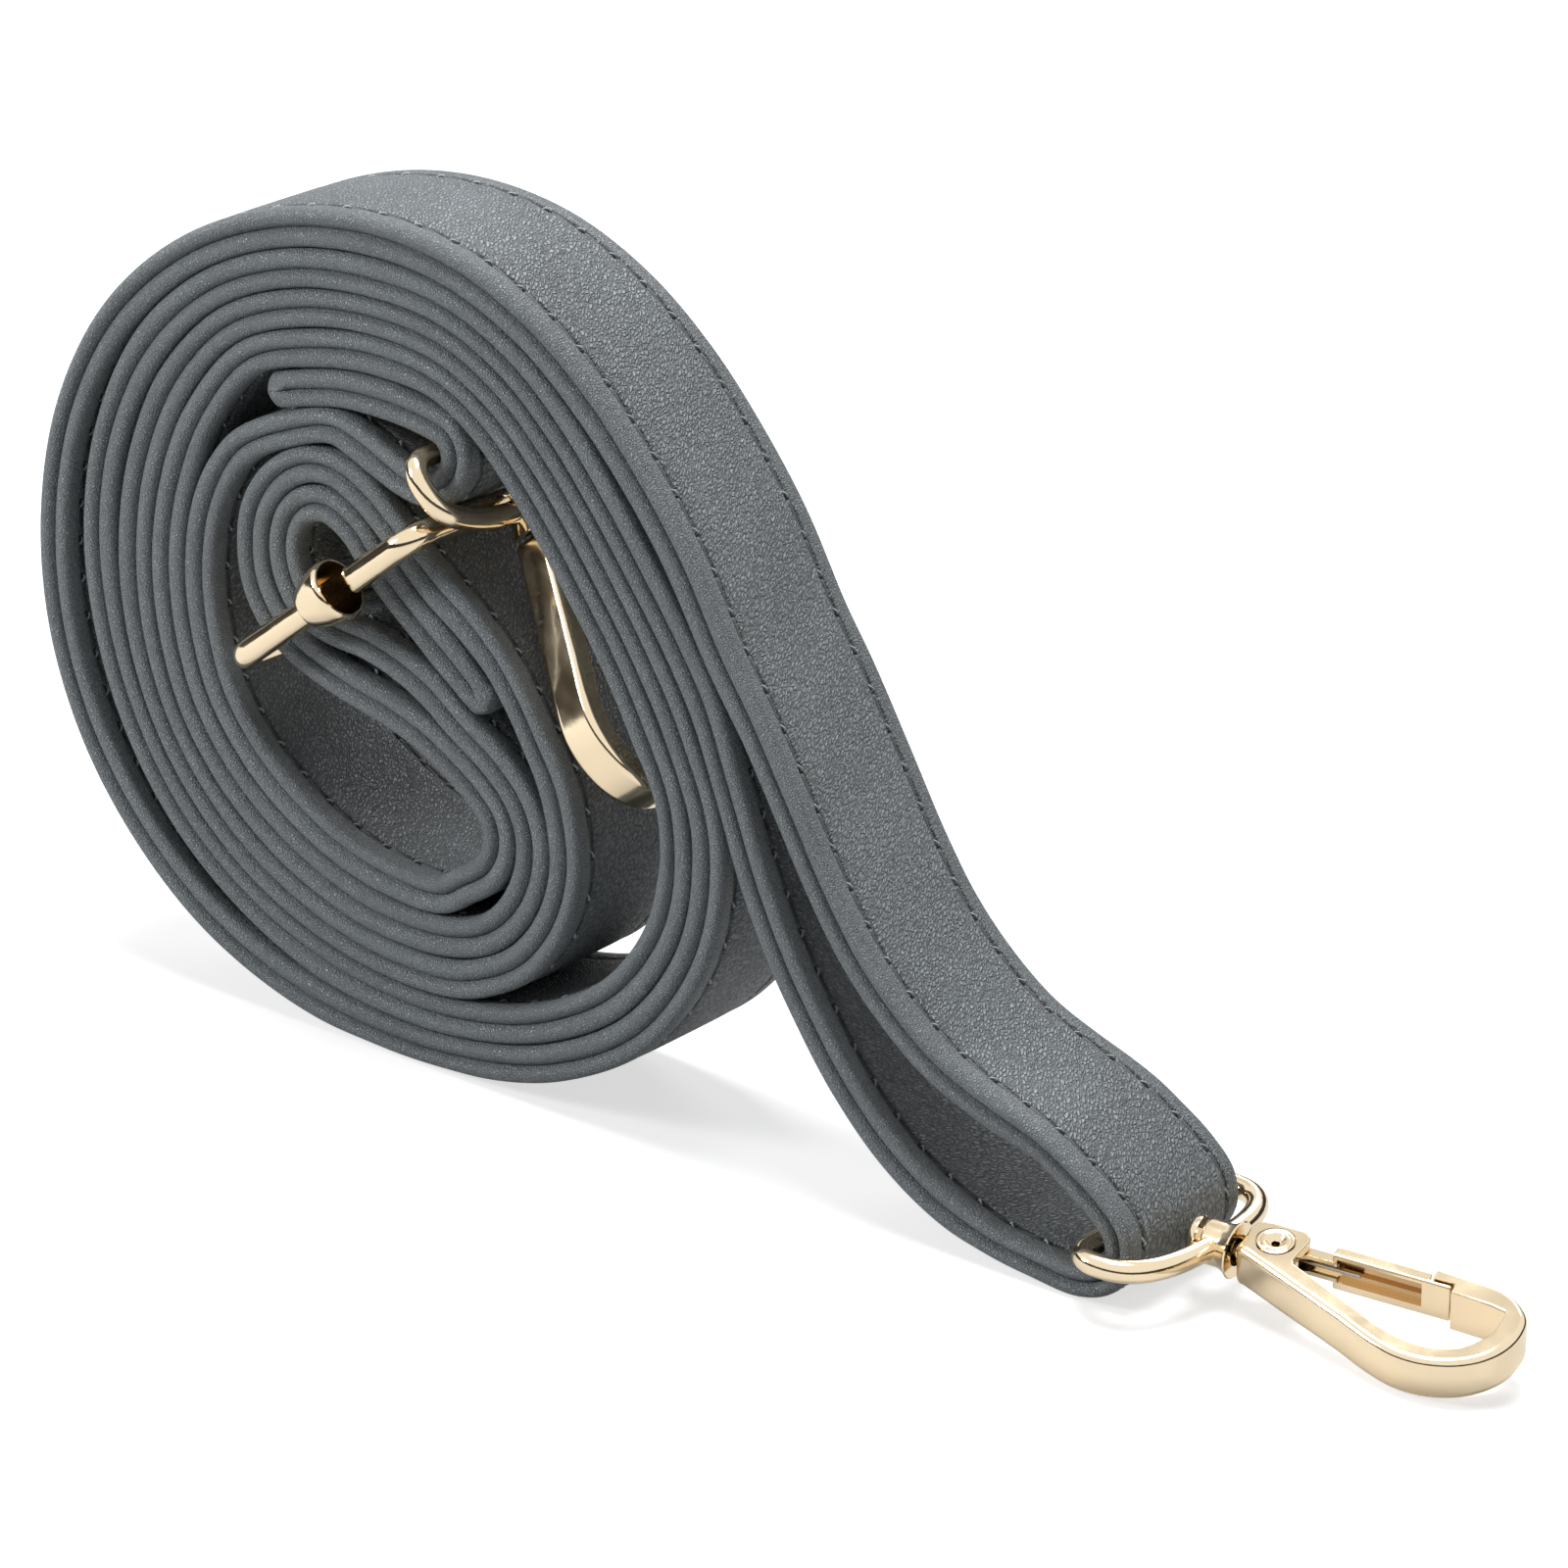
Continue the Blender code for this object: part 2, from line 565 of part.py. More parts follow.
def gate(tag, holder, metal):
    """The sprung gate: a folded channel, its web outside, with a narrow neck in the fork."""
    nose_top = HEEL_HALF_WIDTH - FIT_GAP
    under_lip = nose_top - NOSE_STEP_DEPTH - FIT_GAP
    shoulder = CHEEK_REACH + 2 * GATE_EYE_RADIUS - FIT_GAP
    tip = gate_tip()
    step = tip - NOSE_LIP_LENGTH
    inner = nose_top - GATE_WIDTH
    tall = GATE_HEIGHT / 2
    outline = [(shoulder, inner), (tip, inner), (tip, under_lip), (step, under_lip),
               (step, nose_top - FIT_GAP), (shoulder + GATE_WALL, nose_top - FIT_GAP),
               (shoulder, nose_top - GATE_WALL)]
    channel = plate(f"hook_{tag}_gate", outline, -tall, tall, holder, metal)
    eye = arc((0, 0), GATE_EYE_RADIUS, 270, 90, 10)
    past = shoulder + GATE_WALL + FIT_GAP
    neck_top = GATE_EYE_RADIUS * GATE_NECK_SHARE
    neck = eye + [(GATE_EYE_RADIUS, neck_top), (past, neck_top), (past, inner), (GATE_EYE_RADIUS, inner)]
    low = GATE_NECK_HEIGHT / 2
    combine(channel, plate(f"gate_neck_{tag}", neck, -low, low, holder), "UNION")
    wall = GATE_WALL
    web = nose_top - FIT_GAP - wall
    hollow = [(shoulder + wall, inner - CUT_OVERRUN), (tip + CUT_OVERRUN, inner - CUT_OVERRUN),
              (tip + CUT_OVERRUN, under_lip - wall), (step - wall, under_lip - wall),
              (step - wall, web), (shoulder + wall, web)]
    combine(channel, plate(f"gate_hollow_{tag}", hollow, wall - tall, tall - wall, holder), "DIFFERENCE")
    inside = low - wall
    clear = GATE_EYE_RADIUS + CUT_OVERRUN
    loop_clear = spring_turn() + SPRING_WIRE_RADIUS + FIT_GAP
    neck_hollow = [(-clear, -clear), (past, -clear), (past, neck_top - wall),
                   (loop_clear, neck_top - wall), (loop_clear, clear), (-clear, clear)]
    neck_cut = plate(f"gate_neck_hollow_{tag}", neck_hollow, -inside, inside, holder)
    combine(channel, neck_cut, "DIFFERENCE")
    hole = RIVET_RADIUS + FIT_GAP
    bore = turned(f"gate_hole_{tag}", [(-tall, hole), (tall, hole)], "Z", holder)
    combine(channel, bore, "DIFFERENCE")


def spring_turn():
    """The radius of the spring's turn round the rivet."""
    return RIVET_RADIUS + FIT_GAP + SPRING_WIRE_RADIUS


def gate_spring(tag, holder, metal):
    """A bent wire spring: one turn round the rivet, with its long leg along the gate's channel."""
    turn = spring_turn()
    path = arc((0, 0), turn, -60, -300, 12)
    shoulder = CHEEK_REACH + 2 * GATE_EYE_RADIUS
    path += [(turn + GATE_EYE_RADIUS, SPRING_WIRE_RADIUS), (shoulder, SPRING_WIRE_RADIUS),
             (shoulder + HOOK_BAR_WIDTH, turn * SPRING_REST_SHARE)]
    wire(f"hook_{tag}_gate_spring", path, SPRING_WIRE_RADIUS, holder, metal, loop=False, sides=6)


def hook(tag, parent, place, pitch, yaw, roll, metal, steel):
    """A ring and its swivel hook, each moving body under an empty on its own joint's axis."""
    ring_holder = empty(f"hook_{tag}_ring_axis", frame_at(place, pitch), parent)
    ring(tag, ring_holder, metal)
    lie = Matrix.Translation((RING_DEPTH, 0, 0)) @ Matrix.Rotation(yaw, 4, "Z")
    lie = lie @ Matrix.Rotation(roll, 4, "X")
    swivel = empty(f"hook_{tag}_swivel_axis", lie, ring_holder)
    swivel_post(tag, swivel, metal)
    rivet_place = BOSS_LENGTH / 2 + SWIVEL_PLAY + HEEL_LENGTH
    pivot = empty(f"hook_{tag}_gate_axis", Matrix.Translation((rivet_place, 0, 0)), swivel)
    hook_body(tag, pivot, metal)
    gate_rivet(tag, pivot, metal)
    gate(tag, pivot, metal)
    gate_spring(tag, pivot, steel)


def settle(root):
    """Stands the part on Z = 0 with its box centred on the origin."""
    bpy.context.view_layer.update()
    seen = bpy.context.evaluated_depsgraph_get()
    low = Vector((math.inf,) * 3)
    high = Vector((-math.inf,) * 3)
    for solid in bpy.data.objects:
        if solid.type != "MESH" or solid.hide_render:
            continue
        shape = solid.evaluated_get(seen)
        for vertex in shape.data.vertices:
            spot = shape.matrix_world @ vertex.co
            low = Vector(map(min, low, spot))
            high = Vector(map(max, high, spot))
    root.location -= Vector(((low.x + high.x) / 2, (low.y + high.y) / 2, low.z))
    bpy.context.view_layer.update()
    print("size mm", [round(1000 * side, 2) for side in high - low])


def main():
    clear_scene()
    face = principled("strap_leather_face", (0.085, 0.10, 0.105), 0.55, 0.0)
    back = principled("strap_leather_back", (0.07, 0.082, 0.086), 0.6, 0.0)
    gold = principled("gold_plate", (0.86, 0.68, 0.42), 0.18, 1.0)
    steel = principled("spring_steel", (0.56, 0.55, 0.53), 0.3, 1.0)
    root = empty("strap_root", Matrix.Identity(4))
    strap(root, face, back)
    slider(root, gold)
    hook("a", root, EYE_A_SHARES, HOOK_A_PITCH, 0.0, 0.0, gold, steel)
    hook("b", root, EYE_B_SHARES, HOOK_B_PITCH, HOOK_B_YAW, HOOK_B_ROLL, gold, steel)
    settle(root)


main()
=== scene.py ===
"""The looks of a rolled bag strap: sewn leather plies, plated hooks and slider, and a stage.

Metres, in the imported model's own frame. Run as a script, it builds everything in order.
"""
import json
import math

import bmesh
import bpy
import numpy as np
from bpy.props import FloatProperty, FloatVectorProperty, PointerProperty
from mathutils import Matrix, Vector


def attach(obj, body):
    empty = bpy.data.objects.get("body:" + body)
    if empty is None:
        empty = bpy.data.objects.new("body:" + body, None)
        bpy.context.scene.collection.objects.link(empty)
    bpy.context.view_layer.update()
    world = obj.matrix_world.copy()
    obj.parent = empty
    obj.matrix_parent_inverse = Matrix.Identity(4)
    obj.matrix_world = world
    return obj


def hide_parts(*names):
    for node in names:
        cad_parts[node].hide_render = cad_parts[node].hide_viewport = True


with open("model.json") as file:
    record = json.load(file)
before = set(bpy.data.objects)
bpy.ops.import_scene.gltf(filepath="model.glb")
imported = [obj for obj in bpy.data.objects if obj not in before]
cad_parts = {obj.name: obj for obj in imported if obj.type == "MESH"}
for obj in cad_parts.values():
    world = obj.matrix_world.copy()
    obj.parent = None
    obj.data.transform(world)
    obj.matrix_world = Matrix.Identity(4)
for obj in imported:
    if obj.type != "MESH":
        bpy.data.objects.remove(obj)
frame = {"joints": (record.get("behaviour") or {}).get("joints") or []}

bl_info = {
    "name": "Rolled Bag Strap",
    "version": (1, 0, 0),
    "blender": (4, 5, 0),
    "location": "View3D > Sidebar > Bag Strap",
    "description": "Builds a rolled leather bag strap with its swivel hooks, slider and stage",
    "category": "Add Mesh",
}

MM = 0.001

# The strap's route, the same as the frame's: x and z in route shares, or an angle and a radius
# about the coil's centre.
LAP_PITCH = 0.0035
LAP_SHARE = 3.675
ROUTE_SHARE = LAP_PITCH / LAP_SHARE
STRAP_LEAN = math.radians(-1.3)
SPLINE_STEPS = 14
COIL_CENTER_SHARES = (-7.0, 42.0)
EYE_A_SHARES = (-7.4, 61.0)
SLIDER_TOP_SHARES = (-6.0, 53.7)
SLIDER_ANGLE = math.radians(44.4)
END_A_SHARES = [
    (-26.9, 62.1), (-24, 63.1), (-21, 64.0), (-18, 64.7), (-14, 65.0), (-10.6, 64.95),
]
EYE_TURN_CENTER_SHARES = (-7.35, 61.1)
EYE_TURN_SHARE = 3.5
EYE_EXIT_SHARES = [(-9.9, 57.9), (-12.3, 58.8), (-15.0, 59.9), (-18.6, 60.75)]
INNER_LAP_SHARES = [
    (135, 23.9), (150, 26.2), (165, 26.3), (180, 25.7), (195, 25.1), (210, 24.8), (225, 24.3),
    (240, 24.1), (255, 24.4), (270, 25.1), (285, 26.0),
]
SLIDER_LAP_SHARES = [
    (2.2, 18.6), (4.9, 20.9), (5.9, 23.7), (5.2, 26.5), (3.0, 28.7), (-0.2, 30.7), (-4, 32.6),
    (-8, 33.9), (-12, 34.7), (-16, 35.6), (-20, 36.9), (-23.4, 39.0), (-25.8, 42.2),
    (-26.9, 46.2), (-26.7, 50), (-24.7, 53.8), (-21.4, 56.1), (-17.8, 56.4), (-14.3, 55.0),
    (-11, 52.8), (-7.6, 50.3), (-4.3, 48.0), (-0.4, 45.7), (3.2, 42.9), (6.3, 39.5),
    (9.1, 35.7), (11.6, 32), (13.2, 28), (14.0, 24), (13.7, 20), (12.3, 16), (9.9, 12.6),
    (6.6, 10.2),
]
OUTER_LAP_SHARES = [
    (645, 34.8), (630, 33.8), (615, 33.0), (600, 32.7), (585, 32.7), (570, 33.0), (555, 33.4),
    (540, 34.0), (525, 34.9), (510, 35.8), (495, 35.9), (480, 34.1), (465, 32.1), (450, 30.4),
    (435, 28.05), (420, 26.0), (405, 25.1), (390, 25.6), (375, 27.8), (360, 31.95), (345, 38.0),
    (330, 42.5), (315, 44.7), (300, 44.2), (285, 42.7), (270, 41.7), (255, 41.5), (240, 41.7),
    (225, 42.0), (210, 42.7), (195, 43.5), (180, 44.2), (165, 44.9), (150, 45.0), (135, 44.0),
    (120, 42.3), (105, 40.4), (90, 38.4), (75, 36.2), (60, 34.4), (45, 33.6), (30, 34.3),
]
TAIL_SHARES = [
    (28.5, 51.0), (32.5, 46.0), (38.0, 38.4), (43.0, 31.4), (47.5, 26.0), (52.5, 21.6),
    (58, 18.1), (64, 15.9), (70, 14.2), (73.7, 12.4), (77.1, 10.4), (79.6, 8.1), (80.2, 5.6),
    (79.0, 3.3), (76.3, 2.1), (71, 2.3), (66, 2.9), (60, 4.7), (54, 8.0), (48, 13.1),
    (43.5, 18.2), (39.5, 23.4), (35.5, 29.8),
]
RETURN_LAP_SHARES = [
    (-5, 38.1), (6, 34.5), (15, 32.0), (30, 29.4), (45, 28.8), (60, 29.8), (75, 31.9),
    (90, 34.2), (105, 35.95), (120, 38.1), (135, 39.8), (150, 40.3), (165, 39.7), (180, 38.7),
    (195, 37.6), (210, 36.9), (225, 36.6), (240, 36.5), (255, 36.8), (270, 37.5), (285, 38.7),
    (300, 39.9), (315, 40.2), (330, 38.1), (345, 33.3), (360, 27.35), (375, 23.7), (390, 21.75),
    (405, 21.35), (420, 22.2), (435, 24.2), (450, 26.6), (465, 28.3), (480, 30.0), (495, 32.0),
    (510, 31.5), (525, 30.6), (540, 29.9), (555, 29.3), (570, 29.0), (585, 28.6), (600, 28.4),
    (615, 28.7), (630, 29.5), (645, 30.3),
]
END_B_SHARES = [
    (5.6, 14.6), (8.6, 18.0), (9.9, 22.0), (9.6, 26), (7.7, 29.55), (4.4, 32.45), (-0.3, 35.15),
    (-4.2, 37.6), (-8.1, 39.2), (-12, 40.1), (-16, 40.4), (-19.2, 41.3), (-21.7, 43.7),
    (-22.9, 47), (-22.5, 50.0), (-20.9, 51.9), (-18.3, 52.5), (-15.1, 51.1), (-12.4, 48.6),
    (-8.3, 45.4), (-4.4, 42.75), (-0.5, 40.1), (3.1, 37.4),
]

# The strap's make, in metres
STRAP_WIDTH = 0.020
HALF_THIN = 0.00150
HALF_FREE = 0.00178
HALF_SWOLLEN = 0.00215
SWOLLEN_REACH = 0.0026
HALF_FOLD = 0.00155
FOLD_REACH = (0.009, 0.013)
PLY_SEAM = 0.00001
EDGE_ROUND = 0.0009
SEAM_DIP_SHARE = 0.8
SEAM_SOFT_SHARE = 0.6
ROW_INSET = 0.0025
ROWS_PER_STITCH = 8
HOLE_REACH = 0.00045
GROOVE_DEPTH = 0.00026
HOLE_DEPTH = 0.00016
END_ROUND = 0.0015
END_CLOSE = 0.0028
END_TIP_SHARES = (0.02, 0.08, 0.2, 0.38, 0.62, 0.85)
NEIGHBOUR_TRAVEL = 0.009
BAR_CLEARANCE = 0.00012
FLOOR_CLEARANCE = 0.00008
SWELL_WINDOW = 0.003
STITCH_SIDES = 6

# The hardware's make, in metres, the same as the frame's
WIRE_RADIUS = 0.0011
FIT_GAP = 0.0003
RING_SIDE_GAP = 0.0012
SLIDER_SIDE_GAP = 0.00105
SLIDER_WIRE_RADIUS = 0.00135
CUT_OVERRUN = 0.001
SLIDER_LENGTH = 0.0256
SLIDER_CORNER_RADIUS = 0.0024
CENTER_BAR_RADIUS = 0.00143
SLIDE_RANGE = (-0.0012, 0.0005)
CENTER_BAR_PLACE_SHARE = 0.525
COLLAR_WALL = 0.0004
COLLAR_LENGTH = 0.0042
COLLAR_PLAY = 0.00105
COLLAR_NECK_RADIUS = 0.0017
COLLAR_MOUTH_RADIUS = 0.00275
COLLAR_INNER_GAP = 0.0004
RING_DEPTH = 0.0086
RING_CORNER_RADIUS = 0.0024
ARCH_FULLNESS = 0.75
ARCH_DROP = 0.0007
BOSS_LENGTH = 0.0032
BOSS_RADIUS = 0.00215
BOSS_FLARE_RADIUS = 0.0028
SHANK_RADIUS = 0.001
SHANK_PLAY = 0.0005
HEAD_LENGTH = 0.001
HEAD_RADIUS = 0.00215
SWIVEL_PLAY = 0.00062
HOOK_THICKNESS = 0.0044
HEEL_LENGTH = 0.0029
HEEL_HALF_WIDTH = 0.0025
CHEEK_REACH = 0.0024
HOOK_SWING_ROOM = 0.0011
HEEL_END = 0.00305
HEEL_FOOT_ROUND = 0.0009
CHEEK_END = 0.0028
INNER_EDGE_SHARE = 0.4
EDGE_STEPS = 5
HOOK_REACH = 0.0248
HOOK_DEPTH = 0.0101
HOOK_BAR_WIDTH = 0.0023
SLOT_HEIGHT = 0.0026
SLOT_FRONT = 0.0019
SEAT_LENGTH = 0.003
HOOK_OUTER_SHARES = [
    (0.36, 0.73), (0.53, 0.925), (0.63, 0.995), (0.735, 0.99), (0.84, 0.905), (0.92, 0.755),
    (0.975, 0.55), (1.0, 0.29),
]
HOOK_INNER_SHARES = [(0.845, 0.62), (0.77, 0.735), (0.68, 0.77), (0.57, 0.725), (0.385, 0.525)]
HOOK_CREST_SHARES = [(0.15, 1.13), (0.75, 0.45), (1.6, 0.05), (2.6, 0.0)]
SEAT_CORNER_SHARES = (0.7, 1.1)
SEAT_DROP_SHARE = 1.25
GATE_HEIGHT = 0.004
GATE_WALL = 0.00045
GATE_WIDTH = 0.0028
FLANGE_WIDTH = 0.00165
TONGUE_GAP = 0.00015
TONGUE_LENGTH = 0.00275
LOWER_WALL = 0.0009
STEP_WALL = 0.0008
NECK_TALL = 0.0023
GATE_EYE_RADIUS = 0.0016
NOSE_STEP_DEPTH = 0.00105
NOSE_LIP_LENGTH = 0.0022
RIVET_RADIUS = 0.00075
RIVET_BORE_RADIUS = 0.0004
RIVET_HEAD_RADIUS = 0.0016
RIVET_ROLL_RADIUS = 0.00178
RIVET_HEAD_LENGTH = 0.00045
RIVET_HEAD_RISE = 0.0002
SPRING_WIRE_RADIUS = 0.0002

# The finishes: bump depths in metres, and the painted shade in recesses as shares of the plate's
# colour
LEATHER_BUMP = 0.00025
THREAD_BUMP = 0.00005
PLATE_BUMP = 0.00012
STEEL_BUMP = 0.00006
RECESS_SHADE_SHARES = (0.66, 0.52, 0.38)

# The photograph's camera
CAMERA_PLACE = (0.34705, -0.57922, 0.29502)
CAMERA_RIGHT = (0.8332, 0.5442, 0.0982)
CAMERA_BACK = (0.4803, -0.8002, 0.3591)
CAMERA_LENS = 180.0
CAMERA_SENSOR = 36.0

# The stage, in metres: each soft lamp's place and its side
AIM = (0, 0, 0.03)
KEY_LAMP = ((-0.14, 0.08, 1.0), 0.5)
SIDE_LAMP = ((-0.72, -0.6, 0.4), 0.3)
BACK_LAMP = ((-0.3, 0.93, 0.72), 0.5)
TOP_CARD = ((-0.38, 0.5, 1.0), 0.9, 0.86)
FLOOR_REACH = 4.0
FLOOR_GLOW = 0.22
FLOOR_GLOW_IN_VIEW = 0.44
SURROUND_SIDES = 64


class StrapSettings(bpy.types.PropertyGroup):
    leather_color: FloatVectorProperty(
        name="Leather", description="Colour of the strap's leather", subtype="COLOR", size=3,
        min=0, max=1, default=(0.210, 0.237, 0.254))
    thread_color: FloatVectorProperty(
        name="Thread", description="Colour of the sewing thread", subtype="COLOR", size=3,
        min=0, max=1, default=(0.165, 0.182, 0.19))
    pebble_size: FloatProperty(
        name="Grain", description="Size of one pebble of the leather's grain",
        default=0.00036, min=0.0001, max=0.003, precision=5, subtype="DISTANCE", unit="LENGTH")
    stitch_pitch: FloatProperty(
        name="Stitch", description="Distance from one stitch hole to the next",
        default=0.0039, min=0.002, max=0.01, precision=4, subtype="DISTANCE", unit="LENGTH")
    thread_radius: FloatProperty(
        name="Thread Radius", description="Radius of the sewing thread",
        default=0.0002, min=0.0001, max=0.0006, precision=5, subtype="DISTANCE", unit="LENGTH")


class HardwareSettings(bpy.types.PropertyGroup):
    plate_color: FloatVectorProperty(
        name="Plate", description="Colour of the pale gold plate", subtype="COLOR", size=3,
        min=0, max=1, default=(0.90, 0.745, 0.52))
    steel_color: FloatVectorProperty(
        name="Spring Steel", description="Colour of the gates' springs", subtype="COLOR", size=3,
        min=0, max=1, default=(0.56, 0.55, 0.53))
    plate_roughness: FloatProperty(
        name="Polish", description="Roughness of the polished plate", default=0.10, min=0, max=1)
    edge_round: FloatProperty(
        name="Edge", description="Rounding of the cast hooks' edges",
        default=0.00032, min=0.0001, max=0.0006, precision=5, subtype="DISTANCE", unit="LENGTH")


class StageSettings(bpy.types.PropertyGroup):
    floor_color: FloatVectorProperty(
        name="Floor", description="Colour of the pale floor", subtype="COLOR", size=3,
        min=0, max=1, default=(0.54, 0.54, 0.54))
    key_power: FloatProperty(
        name="Key", description="Power of the large soft key lamp", default=11.0, min=0,
        subtype="POWER", unit="POWER")
    fill_power: FloatProperty(
        name="Fill", description="Power of the soft side lamp", default=6.6, min=0,
        subtype="POWER", unit="POWER")
    back_power: FloatProperty(
        name="Back", description="Power of the soft lamp behind the strap", default=3.0, min=0,
        subtype="POWER", unit="POWER")
    surround_reach: FloatProperty(
        name="Surround Reach", description="Distance to the dark surround that the metal reflects",
        default=0.7, min=0.3, subtype="DISTANCE", unit="LENGTH")
    surround_height: FloatProperty(
        name="Surround Height", description="Height of the dark surround",
        default=0.22, min=0, subtype="DISTANCE", unit="LENGTH")
    room_level: FloatProperty(
        name="Room", description="Level of the plain light from all round", default=0.11, min=0)


# Shapes

def link(name, mesh):
    piece = bpy.data.objects.new(name, mesh)
    bpy.context.scene.collection.objects.link(piece)
    return piece


def skin(name, rings, place, loop=False):
    """A closed solid through rings of points: capped at both ends, or joined end to end."""
    mesh = bpy.data.meshes.new(name)
    shape = bmesh.new()
    rows = [[shape.verts.new(point) for point in ring] for ring in rings]
    pairs = list(zip(rows, rows[1:]))
    if loop:
        pairs.append((rows[-1], rows[0]))
    else:
        shape.faces.new(rows[0])
        shape.faces.new(rows[-1])
    for one, two in pairs:
        for k in range(len(one)):
            shape.faces.new((one[k - 1], one[k], two[k], two[k - 1]))
    bmesh.ops.recalc_face_normals(shape, faces=shape.faces)
    shape.to_mesh(mesh)
    shape.free()
    solid = link(name, mesh)
    solid.matrix_world = place
    return solid


def store(mesh, name, values, kind="FLOAT", domain="POINT"):
    """Stores values on a mesh, for its finish to read."""
    key = "vector" if kind == "FLOAT_VECTOR" else "value"
    made = mesh.attributes.new(name, kind, domain)
    made.data.foreach_set(key, np.array(values, np.float32).ravel())


def circle(radius, sides):
    turns = [2 * math.pi * k / sides for k in range(sides)]
    return [(radius * math.cos(turn), radius * math.sin(turn)) for turn in turns]


def turned(name, profile, axis, place, loop=False, center=(0, 0, 0), sides=48):
    """A turned solid: (place along the axis, radius) pairs about X, Y or Z."""
    order = {"X": (0, 1, 2), "Y": (1, 2, 0), "Z": (2, 0, 1)}[axis]
    rings = []
    for along, radius in profile:
        ring = []
        for one, two in circle(radius, sides):
            point = [0, 0, 0]
            point[order[0]] = center[order[0]] + along
            point[order[1]] = center[order[1]] + one
            point[order[2]] = center[order[2]] + two
            ring.append(point)
        rings.append(ring)
    return skin(name, rings, place, loop)


def plate(name, outline, low, high, place):
    """A flat piece: an outline in X and Y, from one height to another."""
    return skin(name, [[(x, y, height) for x, y in outline] for height in (low, high)], place)


def wire(name, path, radius, place, loop, sides=24):
    """A round wire along a flat path in X and Y."""
    rings = []
    count = len(path)
    for k in range(count):
        before = Vector(path[k - 1 if loop or k else 0])
        after = Vector(path[(k + 1) % count if loop else min(k + 1, count - 1)])
        way = (after - before).normalized()
        side = Vector((-way.y, way.x))
        middle = Vector(path[k])
        ring = []
        for across, up in circle(radius, sides):
            spot = middle + side * across
            ring.append((spot.x, spot.y, up))
        rings.append(ring)
    return skin(name, rings, place, loop)


def arc(center, radius, start, end, count):
    """Points along an arc, its angles in degrees."""
    angles = [math.radians(start + (end - start) * k / count) for k in range(count + 1)]
    return [(center[0] + radius * math.cos(a), center[1] + radius * math.sin(a)) for a in angles]


def combine(solid, helper, operation):
    step = solid.modifiers.new(operation.title(), "BOOLEAN")
    step.operation = operation
    step.object = helper
    step.solver = "EXACT"
    return helper


def rounded(solid, width, angle=45.0, segments=3):
    step = solid.modifiers.new("Edges", "BEVEL")
    step.width = width
    step.segments = segments
    step.limit_method = "ANGLE"
    step.angle_limit = math.radians(angle)
    step.use_clamp_overlap = True


def apply_modifiers(solid):
    bpy.context.view_layer.update()
    seen = bpy.context.evaluated_depsgraph_get()
    mesh = bpy.data.meshes.new_from_object(solid.evaluated_get(seen))
    solid.modifiers.clear()
    solid.data = mesh


def finish_piece(solid, helpers=(), angle=35.0, weighted=True):
    """Applies a piece's modifiers, drops its helpers and shades it round between sharp edges."""
    apply_modifiers(solid)
    for helper in helpers:
        bpy.data.objects.remove(helper, do_unlink=True)
    solid.data.materials.clear()
    solid.data.shade_smooth()
    solid.data.set_sharp_from_angle(angle=math.radians(angle))
    if weighted:
        step = solid.modifiers.new("Flats", "WEIGHTED_NORMAL")
        step.keep_sharp = True
        apply_modifiers(solid)
    return solid


def smooth_line(points, steps):
    """A smooth flat curve through the points, with knots spaced by the root of their distance."""
    points = [np.array(point, float) for point in points]
    padded = [points[0] * 2 - points[1], *points, points[-1] * 2 - points[-2]]
    curve = []
    for four in zip(padded, padded[1:], padded[2:], padded[3:]):
        knots = [0.0]
        for one, two in zip(four, four[1:]):
            knots.append(knots[-1] + math.sqrt(np.linalg.norm(two - one)))
        for k in range(steps):
            place = knots[1] + (knots[2] - knots[1]) * k / steps
            level = list(four)
            for low, high in (((0, 1, 2), (1, 2, 3)), ((0, 1), (2, 3)), ((1,), (2,))):
                level = [
                    (level[j] * (knots[b] - place) + level[j + 1] * (place - knots[a]))
                    / (knots[b] - knots[a])
                    for j, (a, b) in enumerate(zip(low, high))
                ]
            curve.append(level[0])
    curve.append(points[-1])
    return np.array(curve)


# Places

def joint(name):
    return next(row for row in frame["joints"] if row["name"] == name)


def axes(place, along, up):
    """A frame at a place, its X along a way and its Z near another."""
    x = Vector(along).normalized()
    z = Vector(up)
    z = (z - x * z.dot(x)).normalized()
    turn = Matrix((x, z.cross(x), z)).transposed()
    return Matrix.Translation(place) @ turn.to_4x4()


def ring_frame(tag):
    bar = Vector(joint(f"ring_{tag}_swing")["pos_m"])
    along = Vector(joint(f"hook_{tag}_swivel")["pos_m"]) - bar
    return axes(bar, along, along.cross(Vector((0, 1, 0))))


def swivel_frame(tag):
    row = joint(f"hook_{tag}_swivel")
    return axes(row["pos_m"], row["axis"], -Vector(joint(f"gate_{tag}_swing")["axis"]))


def gate_frame(tag):
    row = joint(f"gate_{tag}_swing")
    return axes(row["pos_m"], joint(f"hook_{tag}_swivel")["axis"], -Vector(row["axis"]))


def route_place(shares):
    """A place of the route in metres, from the coil's centre, leant as the rolled strap leans."""
    x = (shares[0] - COIL_CENTER_SHARES[0]) * ROUTE_SHARE
    z = (shares[1] - COIL_CENTER_SHARES[1]) * ROUTE_SHARE
    turn = -STRAP_LEAN
    return np.array((x * math.cos(turn) + z * math.sin(turn),
                     z * math.cos(turn) - x * math.sin(turn)))


def coil_center():
    bar = joint("ring_a_swing")["pos_m"]
    return np.array((bar[0], bar[2])) - route_place(EYE_A_SHARES)


def slider_frame():
    spot = coil_center() + route_place(SLIDER_TOP_SHARES)
    turn = Matrix.Rotation(-SLIDER_ANGLE - STRAP_LEAN, 4, "Y")
    return Matrix.Translation((spot[0], 0, spot[1])) @ turn


